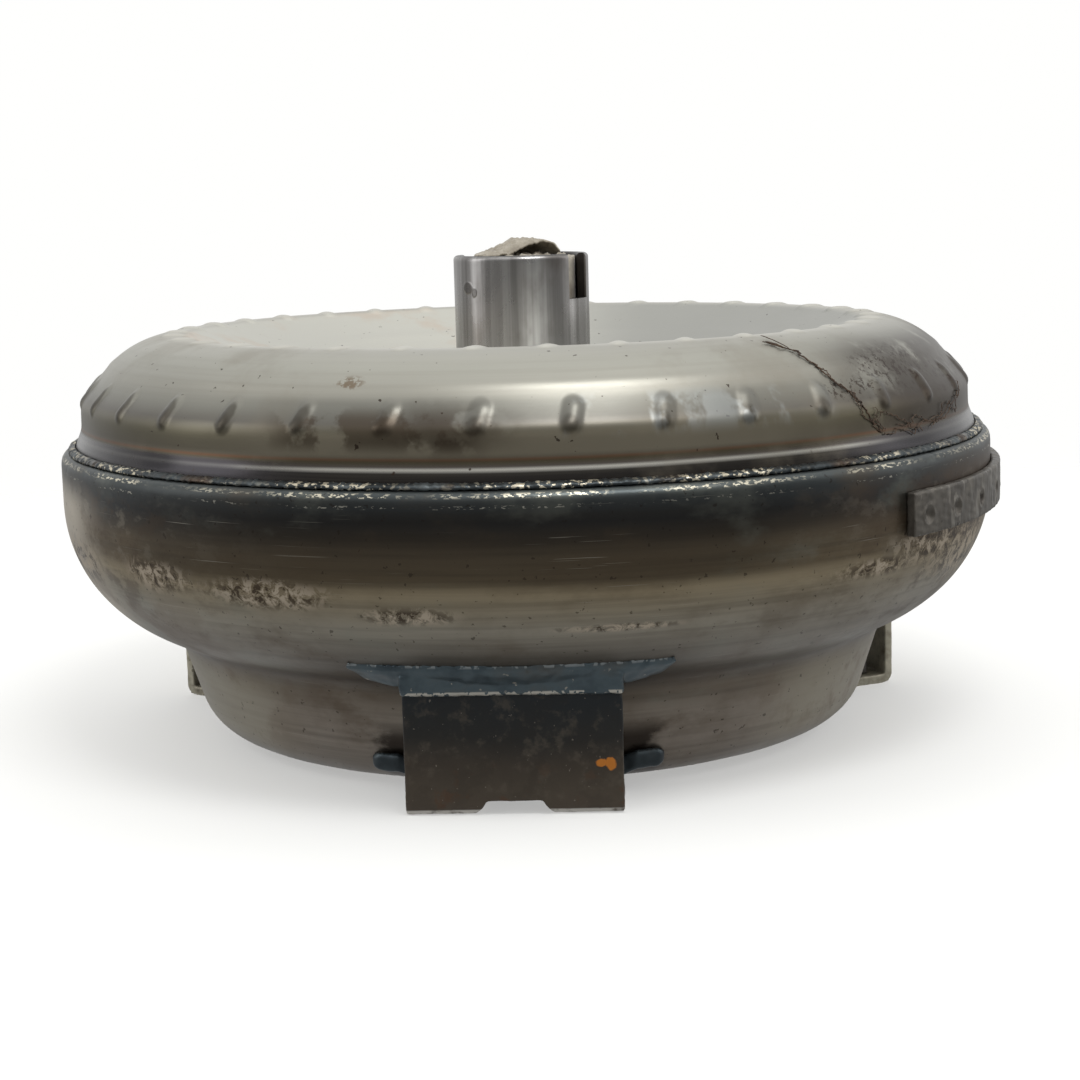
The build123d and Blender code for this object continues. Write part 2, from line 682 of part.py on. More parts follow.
def damper_rivets():
    """Rivets of the driven plate."""
    return around(rivet(DAMPER_RIVET_R, PLATE_Z, PLATE_Z + PLATE_THICK + DAMPER_FLANGE), DAMPER_RIVETS)


def spacer_holes(low, high):
    """Holes for the spacer rivets, midway between the springs."""
    hole = Pos(0, -SPACER_PITCH_R, 0) * disc(RIVET_R + SEAT, low, high)
    return around(hole, SPRING_COUNT, 180 / SPRING_COUNT)


def drive_plate(low):
    """Outer plate of the damper."""
    plate = ring(DRIVE_BORE_R, DRIVE_R, low, low + DRIVE_THICK)
    return plate - spring_windows(low - 1, low + DRIVE_THICK + 1) - spacer_holes(low - 1, low + DRIVE_THICK + 1)


def front_drive_plate():
    """Drive plate nearer the cover, with tabs down into the piston's rim."""
    low = PLATE_Z - DRIVE_GAP - DRIVE_THICK
    tab = block((-TAB_WIDTH / 2, TAB_WIDTH / 2), (-DRIVE_R + TAB_INSET, -DRIVE_R + TAB_INSET + TAB_THICK), (TAB_BOTTOM, low))
    return drive_plate(low) + around(tab, SPRING_COUNT)


def rear_drive_plate():
    """Drive plate nearer the turbine."""
    return drive_plate(PLATE_Z + PLATE_THICK + DRIVE_GAP)


def spacer_rivets():
    """Shouldered rivets that hold the two drive plates apart."""
    low = PLATE_Z - DRIVE_GAP
    high = PLATE_Z + PLATE_THICK + DRIVE_GAP
    shoulder = disc(RIVET_R + 0.9, low, high)
    shank = disc(RIVET_R, low - DRIVE_THICK, high + DRIVE_THICK)
    heads = disc(RIVET_HEAD_R - 0.4, low - DRIVE_THICK - 1.4, low - DRIVE_THICK)
    heads += disc(RIVET_HEAD_R - 0.4, high + DRIVE_THICK, high + DRIVE_THICK + 1.4)
    return around(Pos(0, -SPACER_PITCH_R, 0) * (shoulder + shank + heads), SPRING_COUNT, 180 / SPRING_COUNT)


def damper_springs():
    """Helical springs lying in the windows, their ends ground flat."""
    coil_r = SPRING_OD / 2 - SPRING_WIRE_R
    pitch = (SPRING_LENGTH - SPRING_WIRE_R) / SPRING_TURNS
    path = Helix(pitch, SPRING_LENGTH - SPRING_WIRE_R, coil_r)
    wire = Plane(origin=path @ 0, z_dir=path % 0) * Circle(SPRING_WIRE_R)
    coil = sweep(wire, path=path, is_frenet=True)
    upright = Pos(0, 0, SPRING_WIRE_R / 2 - SPRING_LENGTH / 2) * coil
    upright &= Cylinder(SPRING_OD, SPRING_LENGTH)
    lying = Pos(0, -SPRING_PITCH_R, PLATE_Z + PLATE_THICK / 2) * Rot(0, 90, 0) * upright
    return around(largest(lying), SPRING_COUNT)


# ---------------------------------------------------------------- lock-up piston

def lockup_piston():
    """Dished plate with a collar on the hub barrel and a notched rim."""
    inner = BARREL_R + PISTON_FIT
    plate = shell([
        (inner + COLLAR_WALL - 1, PISTON_HIGH),
        (PISTON_STEP[0], PISTON_HIGH, PISTON_FILLET),
        (PISTON_STEP[1], PISTON_LOW, PISTON_FILLET),
        (DRIVE_R, PISTON_LOW, PISTON_FILLET),
        (DRIVE_R, PISTON_RIM_TOP),
    ], PISTON_WALL)
    plate += ring(inner, inner + COLLAR_WALL, *COLLAR_Z)
    half = TAB_WIDTH / 2 + 0.5
    gap = block((-half, half), (-DRIVE_R - 1, -DRIVE_R + PISTON_WALL + 1), (TAB_BOTTOM - 1.5, PISTON_RIM_TOP + 1))
    return plate - around(gap, SPRING_COUNT)


def friction_lining():
    """Friction ring bonded under the piston."""
    return ring(*LINING_R, PISTON_LOW - LINING, PISTON_LOW)


# ---------------------------------------------------------------- stator and one-way clutch

def stator_blade():
    """Cambered blade on -Y, from the hub ring to the outer ring."""
    top = Vector(-4, 0, STATOR_Z[1] - 2.5)
    bottom = Vector(5, 0, STATOR_Z[0] + 3.5)
    rise = STATOR_Z[1] - 10
    back = Edge.make_three_point_arc(top, Vector(5.2, 0, rise + 0.5), bottom)
    front = Edge.make_three_point_arc(bottom, Vector(1.8, 0, rise - 1), top)
    return extrude(Face(Wire([back, front])), STATOR_RING_R[1] + 6, dir=(0, -1, 0))


def stator_wheel():
    """Cast wheel: hub ring with a snap-ring groove, blades and outer ring."""
    low, high = STATOR_Z
    hub = ring(STATOR_BORE_R, STATOR_HUB_R, low, high)
    hub -= ring(STATOR_BORE_R - 1, STATOR_BORE_R + 1.0, high - 1.8, high - 0.4)
    outer = ring(*STATOR_RING_R, low + 3, high - 2)
    room = ring(STATOR_HUB_R - 0.5, STATOR_RING_R[0] + 0.5, low, high)
    blades = around(stator_blade() & room, STATOR_BLADES)
    return hub + outer + blades


def snap_ring():
    """Split ring in the stator's groove."""
    high = STATOR_Z[1]
    body = ring(STATOR_BORE_R - 2, STATOR_BORE_R + 0.8, high - 1.7, high - 0.5)
    return body - block((-3, 3), (-STATOR_HUB_R, 0), (high - 3, high))


def outer_race():
    """Cam ring with a ramped pocket for each roller."""
    low, high = RACE_Z
    body = ring(CAM_R, OUTER_RACE_R, low, high)
    deep, shallow = OUTER_RACE_R - 6.7, OUTER_RACE_R - 7.7
    corners = [(-POCKET_HALF, -CAM_R + 3, low - 1), (POCKET_HALF, -CAM_R + 3, low - 1),
               (POCKET_HALF, -shallow, low - 1), (-POCKET_HALF, -deep, low - 1)]
    pocket = extrude(Face(Wire(Polyline(*corners, close=True).edges())), high - low + 2, dir=(0, 0, 1))
    return body - around(pocket, ROLLER_COUNT)


def rollers():
    """Rollers of the one-way clutch."""
    pitch = INNER_RACE_R + ROLLER_GAP + ROLLER_R
    across = -3.0
    roller = Pos(across, -((pitch ** 2 - across ** 2) ** 0.5), 0) * disc(ROLLER_R, RACE_Z[0] + 0.5, RACE_Z[1] - 0.5)
    return around(roller, ROLLER_COUNT)


def roller_springs():
    """Folded strip springs that push the rollers up their ramps."""
    legs, start, step, half = 6, 1.2, 1.28, 0.2
    height = (RACE_Z[0] + 5, RACE_Z[1] - 5)
    near, far = -CAM_R - 0.6, -OUTER_RACE_R + 8.3
    strip = block((start - half, start + half), (far, near), height)
    for i in range(1, legs):
        x = start + i * step
        strip += block((x - half, x + half), (far, near), height)
        fold = near - 2 * half if i % 2 else far
        strip += block((x - step - half, x + half), (fold, fold + 2 * half), height)
    return around(strip, ROLLER_COUNT)


def inner_race():
    """Race on the stator support, splined inside."""
    low, high = RACE_Z[0] - 0.5, RACE_Z[1] + 0.5
    return ring(RACE_BORE_R, INNER_RACE_R, low, high) + splined(RACE_BORE_R, RACE_SPLINES, low, high, 2.0)


def lower_cap():
    """Retainer under the rollers."""
    return ring(CAM_R, STATOR_BORE_R - 0.6, STATOR_Z[0] - CAP_STAND, RACE_Z[0] - CAP_GAP)


def upper_cap():
    """Retainer over the rollers, inside the snap ring."""
    return ring(CAM_R, STATOR_BORE_R - 2.3, RACE_Z[1] + CAP_GAP, STATOR_Z[1])


# ---------------------------------------------------------------- needle bearings

def bearing_race(low):
    """Flat washer race."""
    return ring(*BEARING_R, low, low + RACE_THICK)


def needle_angle_copies(shape):
    """One copy for each needle."""
    return around(shape, NEEDLE_COUNT)


def bearing_cage(middle):
    """Flat cage with a radial window for each needle."""
    inner, outer = BEARING_R[0] + 1, BEARING_R[1] - 1
    mean = (inner + outer) / 2
    reach = NEEDLE_LENGTH / 2 + 0.2
    window = block((-NEEDLE_R - 0.12, NEEDLE_R + 0.12), (-mean - reach, -mean + reach), (middle - 2, middle + 2))
    return ring(inner, outer, middle - CAGE_THICK / 2, middle + CAGE_THICK / 2) - needle_angle_copies(window)


def bearing_needles(middle):
    """Needles lying radially."""
    mean = (BEARING_R[0] + BEARING_R[1]) / 2
    needle = Pos(0, -mean, middle) * Rot(90, 0, 0) * Cylinder(NEEDLE_R, NEEDLE_LENGTH)
    return needle_angle_copies(needle)


def write(nodes):
    """One STEP file for each node."""
    os.makedirs("parts", exist_ok=True)
    for name, shape in nodes.items():
        solids = solids_of(shape)
        export_step(solids[0] if len(solids) == 1 else Compound(children=solids), f"parts/{name}.step")


def build():
    """All nodes of the converter."""
    envelope = cover_envelope()
    plate = bracket(envelope)
    nodes = {
        "front_cover": front_cover(),
        "crank_pilot": crank_pilot(),
        "upper_bracket_welds": around(upper_weld(envelope), BRACKET_COUNT),
        "lower_bracket_welds": around(lower_weld(envelope), BRACKET_COUNT),
        "weld_nuts": [n for x, y in nut_places() for n in around(weld_nut(x, y), BRACKET_COUNT)],
        "balance_weight": balance_weight(),
        "seam_weld": seam_weld(),
        "impeller_shell": impeller_shell(),
        "impeller_hub": impeller_hub(),
        "hub_weld": hub_weld(),
        "impeller_core_ring": impeller_core(),
        "impeller_blades": impeller_blades(),
        "turbine_shell": turbine_shell(),
        "turbine_core_ring": turbine_core(),
        "turbine_blades": turbine_blades(),
        "turbine_hub": turbine_hub(),
        "turbine_rivets": turbine_rivets(),
        "piston_seal": piston_seal(),
        "thrust_washer": thrust_washer(),
        "damper_driven_plate": driven_plate(),
        "damper_rivets": damper_rivets(),
        "damper_front_plate": front_drive_plate(),
        "damper_rear_plate": rear_drive_plate(),
        "damper_spacer_rivets": spacer_rivets(),
        "damper_springs": damper_springs(),
        "lockup_piston": lockup_piston(),
        "friction_lining": friction_lining(),
        "stator_wheel": stator_wheel(),
        "stator_snap_ring": snap_ring(),
        "clutch_outer_race": outer_race(),
        "clutch_rollers": rollers(),
        "clutch_roller_springs": roller_springs(),
        "clutch_inner_race": inner_race(),
        "clutch_lower_cap": lower_cap(),
        "clutch_upper_cap": upper_cap(),
        "bore_rag": bore_rag(),
    }
    for i, copy in enumerate(around(plate, BRACKET_COUNT)):
        nodes[f"mounting_bracket_{i + 1}"] = copy
    for name, low in (("turbine_bearing", LOW_BEARING), ("impeller_bearing", HIGH_BEARING)):
        nodes[f"{name}_lower_race"] = bearing_race(low)
        nodes[f"{name}_cage"] = bearing_cage(low + NEEDLE_MIDDLE)
        nodes[f"{name}_needles"] = bearing_needles(low + NEEDLE_MIDDLE)
        nodes[f"{name}_upper_race"] = bearing_race(low + BEARING_HEIGHT - RACE_THICK)
    return nodes


write(build())
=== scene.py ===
"""Looks of the torque converter: turned shells, welds, brackets and the wipe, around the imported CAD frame."""

import json
import math

import bmesh
import bpy
import numpy as np
from mathutils import Matrix, Vector


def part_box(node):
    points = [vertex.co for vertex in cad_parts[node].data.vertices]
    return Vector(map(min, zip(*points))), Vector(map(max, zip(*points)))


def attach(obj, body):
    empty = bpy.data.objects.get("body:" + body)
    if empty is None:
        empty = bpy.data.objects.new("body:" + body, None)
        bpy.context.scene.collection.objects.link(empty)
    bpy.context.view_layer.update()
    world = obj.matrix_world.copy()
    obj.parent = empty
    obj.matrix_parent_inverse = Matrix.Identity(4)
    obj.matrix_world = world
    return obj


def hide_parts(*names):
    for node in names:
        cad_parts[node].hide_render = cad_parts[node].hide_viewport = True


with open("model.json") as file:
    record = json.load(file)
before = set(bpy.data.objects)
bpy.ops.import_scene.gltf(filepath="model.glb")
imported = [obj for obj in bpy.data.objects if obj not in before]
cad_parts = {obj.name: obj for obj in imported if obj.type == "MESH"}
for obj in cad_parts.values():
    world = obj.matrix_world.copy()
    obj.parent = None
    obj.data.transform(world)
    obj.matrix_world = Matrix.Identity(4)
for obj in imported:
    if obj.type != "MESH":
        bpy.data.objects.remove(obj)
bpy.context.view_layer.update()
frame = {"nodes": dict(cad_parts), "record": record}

MM = 0.001
TAU = 2 * math.pi
HOUSING = "housing"
LIP_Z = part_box("front_cover")[1].z
CREST_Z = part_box("impeller_shell")[1].z
HUB_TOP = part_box("impeller_hub")[1].z
HUB_R = 22.2 * MM
SLOT_WIDTH = 11.0 * MM
SLOT_DEPTH = 14.5 * MM
SLOT_ANGLE = 61.0  # degrees
PLATE_HALF_ANGLE = 15.0  # degrees from a bracket's middle to its side, seen from the axis
PLATE_FACE = -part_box("mounting_bracket_1")[0].y
WEIGHT_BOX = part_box("balance_weight")

# tab heads: one ring on the shell's upright wall and one round its crest
TAB_COUNT = 35
TAB_PHASE = -2.4  # degrees
CREST_TAB_PHASE = 6.1  # degrees
TAB_LEAN = 16.0  # degrees
TAB_Z = 115.2 * MM
CREST_TAB_R = 113.5 * MM
TAB_HALF = 2.4 * MM  # half length of a head's straight middle
TAB_ROUND = 3.3 * MM  # radius of its ends
TAB_HEIGHT = 0.85 * MM
WALL_R = 144.5 * MM  # the wall where the heads are
WALL_RUN = 1.08  # distance along the wall for each unit of height there
CREASE_Z = 123.6 * MM  # faint crease at the shoulder
CLEAR_ANGLE = math.radians(1.5)  # a section here misses every tab head

CAMERA_PLACE = (0.03527, -0.74212, 0.1765)
CAMERA_TURN = (2.48, 9.01, -1.58)  # degrees about Z, down, and rolled
CAMERA_LENS = 74.57
CAMERA_SHIFT = (0.0018, 0.0010)


# ---------------------------------------------------------------- shader helper

def tone(code):
    """Linear colour of a hex sRGB code."""
    parts = [int(code[i:i + 2], 16) / 255 for i in (0, 2, 4)]
    return [c / 12.92 if c < 0.04045 else ((c + 0.055) / 1.055) ** 2.4 for c in parts] + [1.0]


class Graph:
    """Short calls that add and link the nodes of one node tree."""

    def __init__(self, tree):
        tree.nodes.clear()
        self.nodes = tree.nodes
        self.links = tree.links

    def add(self, kind, **settings):
        """A new node with some of its settings."""
        node = self.nodes.new(kind)
        for name, value in settings.items():
            setattr(node, name, value)
        return node

    def put(self, socket, value):
        """Links an output to a socket, or sets its constant."""
        if isinstance(value, bpy.types.NodeSocket):
            self.links.new(value, socket)
        else:
            socket.default_value = value

    def math(self, operation, a, b=0.0, c=0.0):
        node = self.add("ShaderNodeMath", operation=operation)
        for socket, value in zip(node.inputs, (a, b, c)):
            self.put(socket, value)
        return node.outputs[0]

    def plus(self, a, b):
        return self.math("ADD", a, b)

    def less(self, a, b):
        return self.math("SUBTRACT", a, b)

    def over(self, a, b):
        return self.math("DIVIDE", a, b)

    def times(self, *values):
        product = values[0]
        for value in values[1:]:
            product = self.math("MULTIPLY", product, value)
        return product

    def step(self, value, low, high, start=0.0, end=1.0):
        """Smooth step of a value from low to high."""
        node = self.add("ShaderNodeMapRange", interpolation_type="SMOOTHSTEP")
        self.put(node.inputs["Value"], value)
        for name, number in zip(("From Min", "From Max", "To Min", "To Max"), (low, high, start, end)):
            node.inputs[name].default_value = number
        return node.outputs["Result"]


class Paint(Graph):
    """A procedural material: a colour built up in layers, with bumps and a roughness."""

    def __init__(self, name, metallic):
        self.material = bpy.data.materials.new(name)
        self.material.use_nodes = True
        super().__init__(self.material.node_tree)
        self.shader = self.add("ShaderNodeBsdfPrincipled")
        self.shader.inputs["Metallic"].default_value = metallic
        output = self.add("ShaderNodeOutputMaterial")
        self.links.new(self.shader.outputs["BSDF"], output.inputs["Surface"])
        self.place = self.add("ShaderNodeTexCoord").outputs["Object"]
        apart = self.add("ShaderNodeSeparateXYZ")
        self.links.new(self.place, apart.inputs[0])
        self.x, self.y, self.z = apart.outputs
        self.bumps = None
        self.colour = None

    def noise(self, scale, detail=3.0, rough=0.55, stretch=(1, 1, 1), distortion=0.0):
        """Noise in object coordinates, which are stretched by a factor along each axis."""
        scaled = self.add("ShaderNodeVectorMath", operation="MULTIPLY")
        self.put(scaled.inputs[0], self.place)
        scaled.inputs[1].default_value = stretch
        node = self.add("ShaderNodeTexNoise")
        self.put(node.inputs["Vector"], scaled.outputs[0])
        node.inputs["Scale"].default_value = scale
        node.inputs["Detail"].default_value = detail
        node.inputs["Roughness"].default_value = rough
        node.inputs["Distortion"].default_value = distortion
        return node.outputs["Fac"]

    def sway(self, noise, swing):
        """Noise from 0 to 1 turned into a value from -swing to swing."""
        return self.math("MULTIPLY_ADD", noise, 2 * swing, -swing)

    def squares(self, a, b):
        """Sum of two values' squares."""
        return self.plus(self.times(a, a), self.times(b, b))

    def angle(self):
        """Angle about the axis in degrees, from -Y towards +X."""
        turn = self.math("ARCTAN2", self.x, self.times(self.y, -1.0))
        return self.times(turn, 360 / TAU)

    def repeat_angle(self, count, phase=0.0):
        """Angle in degrees from the nearest of some evenly spaced places."""
        pitch = 360 / count
        shifted = self.plus(self.angle(), 360 + pitch / 2 - phase)
        return self.less(self.math("MODULO", shifted, pitch), pitch / 2)

    def sector(self, start, full, full_end, end):
        """Mask of an angle range in degrees: it rises from start to full and falls from full_end to end."""
        return self.times(self.step(self.angle(), start, full), self.step(self.angle(), end, full_end))

    def radius(self):
        return self.math("SQRT", self.squares(self.x, self.y))

    def millimetres(self, swing, scale):
        """Height in mm, swaying by an amount."""
        return self.math("MULTIPLY_ADD", self.z, 1000, self.sway(self.noise(scale, 3), swing))

    def band(self, low, high, soft):
        """Mask of the heights from low to high, in mm, with soft edges."""
        rise = self.step(self.z, (low - soft) * MM, (low + soft) * MM)
        fall = self.step(self.z, (high + soft) * MM, (high - soft) * MM)
        return self.times(rise, fall)

    def spot(self, degrees, height, width, tall, soft=0.35):
        """Mask of an elliptic patch: middle in degrees and mm, half sizes in degrees and mm."""
        across = self.over(self.less(self.angle(), degrees), width)
        up = self.over(self.less(self.z, height * MM), tall * MM)
        far = self.math("SQRT", self.squares(across, up))
        return self.step(self.plus(far, self.sway(self.noise(70, 4), 0.45)), 1 + soft, 1 - soft)

    def flecks(self, size, cover, stretch=(1, 1, 1)):
        """Mask of small irregular flecks; cover is their share of the surface, roughly."""
        grain = self.noise(size, 2.0, 0.6, stretch)
        return self.step(grain, 0.72 - cover, 0.75 - cover)

    def strongest(self, masks):
        """Highest of several masks."""
        top = masks[0]
        for mask in masks[1:]:
            top = self.math("MAXIMUM", top, mask)
        return top

    def ramp(self, value, stops, low=0.0, high=1.0):
        """Starts the colour with a ramp of (place, hex) stops, with places from low to high."""
        spread = self.add("ShaderNodeMapRange")
        self.put(spread.inputs["Value"], value)
        spread.inputs["From Min"].default_value = low
        spread.inputs["From Max"].default_value = high
        node = self.add("ShaderNodeValToRGB")
        ramp = node.color_ramp
        while len(ramp.elements) < len(stops):
            ramp.elements.new(0.5)
        for element, (place, code) in zip(ramp.elements, sorted(stops)):
            element.position = (place - low) / (high - low)
            element.color = tone(code)
        self.put(node.inputs["Fac"], spread.outputs["Result"])
        self.colour = node.outputs["Color"]

    def lay(self, code, amount, *masks):
        """Lays an amount of a hex colour over the colour so far, where all the masks are."""
        node = self.add("ShaderNodeMix", data_type="RGBA")
        self.put(node.inputs["Factor"], self.times(*masks, amount))
        self.put(node.inputs[6], self.colour)
        self.put(node.inputs[7], tone(code))
        self.colour = node.outputs[2]

    def bump(self, height, distance, strength=1.0):
        """Adds one bump, on top of those before it."""
        node = self.add("ShaderNodeBump")
        node.inputs["Strength"].default_value = strength
        node.inputs["Distance"].default_value = distance * MM
        self.put(node.inputs["Height"], height)
        if self.bumps:
            self.put(node.inputs["Normal"], self.bumps)
        self.bumps = node.outputs["Normal"]

    def finish(self, rough):
        """Links the colour, bumps and roughness to the shader."""
        self.put(self.shader.inputs["Base Color"], self.colour)
        self.put(self.shader.inputs["Roughness"], rough)
        if self.bumps:
            self.put(self.shader.inputs["Normal"], self.bumps)
        return self.material


# ---------------------------------------------------------------- materials of the outside

COVER_BANDS = [
    (4, "5f5850"), (14, "8b837a"), (24, "898177"), (31, "71685d"), (36, "5a544d"), (42, "6e6961"),
    (50, "7d786f"), (57, "918c80"), (62, "8e8675"), (68, "978b73"), (72, "6b5f4c"), (79, "5f5546"),
    (83, "423c34"), (88, "292b2d"), (92, "373b3d"), (95, "3e4344"), (97, "585e5f"),
]

# abraded places on the cover: degrees, height in mm, half width in degrees, half height in mm
# the wide place at -66 degrees is partly wear and partly painted light that lightens the cover's left edge
ABRADED = [
    (-43.5, 68, 5, 4), (-27, 66.5, 7, 3.5), (-10.5, 61.5, 4.5, 2.2), (12.5, 57, 6, 1), (-66, 66, 9, 6),
    (45, 66, 6, 2.5), (57, 70, 9, 5), (68, 64, 11, 9), (84, 60, 12, 10), (150, 66, 20, 6), (-130, 62, 16, 5),
]


def cover_paint():
    """Heat-tinted, oiled and scuffed pressed steel, with painted light on its left edge and drum sides and
    painted shade at the front of the bowl.
    """
    p = Paint("cover_steel", 0.8)
    p.ramp(p.millimetres(2.5, 9), COVER_BANDS, 4, 97)
    streak = p.noise(1, 3, 0.6, (9, 9, 420))
    p.lay("2e2a24", 0.3, p.step(streak, 0.4, 0.75))
    cloud = p.noise(24, 5, 0.62, (1, 1, 1.8))
    p.lay("5b4d3b", 0.4, p.step(cloud, 0.5, 0.72))
    p.lay("7c7f76", 0.3, p.step(cloud, 0.46, 0.3))
    smudge = p.noise(75, 5, 0.65, (1, 1, 1.6))
    side = p.step(p.math("ABSOLUTE", p.less(p.angle(), 2.0)), 22, 60)
    p.lay("4a3b2d", 0.55, p.step(smudge, 0.5, 0.62), side, p.band(40, 90, 4))
    p.lay("948d80", 0.35, p.step(smudge, 0.48, 0.36), side, p.band(40, 90, 4))
    # painted highlight: a pale left edge where the surround reflects; painted shade: darker towards the middle;
    # brown on the right
    edge = p.step(p.angle(), -52, -66)
    p.lay("c4bbac", 0.85, edge, p.band(45, 88, 6), p.step(cloud, 0.72, 0.5))
    p.lay("241f19", 0.38, p.sector(-50, -40, 22, 36), p.band(69, 92, 4))
    p.lay("4e4033", 0.6, p.step(p.angle(), 32, 52), p.band(76, 92, 4), p.step(cloud, 0.34, 0.56))
    # painted light: the drum lighter towards its sides
    p.lay("a5a08f", 0.5, p.band(8, 32, 5), p.step(side, 0.2, 0.9))
    p.lay("5c4633", 0.4, p.band(10, 60, 5), side, p.step(p.noise(33, 5, 0.65), 0.5, 0.6))
    # dark heat around each bracket's bead, a brown rim beyond it, and rust at the lower weld's ends
    turn = p.math("ABSOLUTE", p.repeat_angle(3))
    p.lay("242220", 0.65, p.step(turn, 31, 14), p.band(33, 49, 7))
    rim = p.times(p.step(turn, 38, 27), p.step(turn, 15, 24))
    p.lay("4b3b2b", 0.45, rim, p.band(16, 60, 8), p.step(cloud, 0.42, 0.6))
    ragged = p.plus(turn, p.times(smudge, 14))
    p.lay("211812", 0.88, p.step(ragged, 31, 27), p.step(p.z, 0.025, 0.017))
    # abraded places, where the finish is knocked off in chips
    chips = p.noise(270, 4, 0.72, (1, 1, 1), 0.5)
    worn = p.strongest([p.spot(*place, 0.6) for place in ABRADED])
    bare = p.times(worn, p.step(chips, 0.50, 0.57))
    p.lay("6b5d4c", 0.3, worn)
    p.lay("b9ad9c", 0.85, bare)
    p.lay("2f2118", 0.8, worn, p.step(chips, 0.48, 0.42))
    p.lay("241c16", 0.55, p.flecks(480, 0.045))
    # torn bright flecks in two thin rows under the lip, gathered in clusters
    cluster = p.step(p.noise(34, 2), 0.36, 0.60)
    torn = p.flecks(620, 0.19, (1, 1, 2.4))
    p.lay("d9d2bd", 0.85, p.band(94.6, 95.7, 0.3), torn, cluster)
    p.lay("b9b6aa", 0.7, p.band(91.7, 92.5, 0.3), p.flecks(560, 0.13, (1, 1, 3.0)), cluster)
    p.lay("a7a398", 0.4, p.flecks(1, 0.035, (26, 26, 2300)), p.step(p.noise(17, 2), 0.45, 0.65))
    p.bump(streak, 0.04, 0.4)
    p.bump(p.times(chips, worn), 0.3, 0.5)
    p.bump(p.noise(600, 2), 0.05, 0.3)
    rough = p.plus(p.step(cloud, 0.3, 0.8, 0.36, 0.5), p.times(bare, 0.15))
    return p.finish(rough)


# the bright stop at 101.6 mm is a painted highlight on the foot's bend, and the dark stops below it are painted
# shade in the groove above the seam
IMPELLER_BANDS = [
    (88, "343230"), (98, "272422"), (100.6, "242220"), (101.6, "a5a39c"), (102.3, "4b4642"),
    (103.6, "4e4838"), (104.3, "634734"), (105, "5b5549"), (110, "66614f"), (114, "63605a"), (118, "83827a"),
    (122, "97958c"), (128, "a3a299"), (134, "b3b1a8"),
]


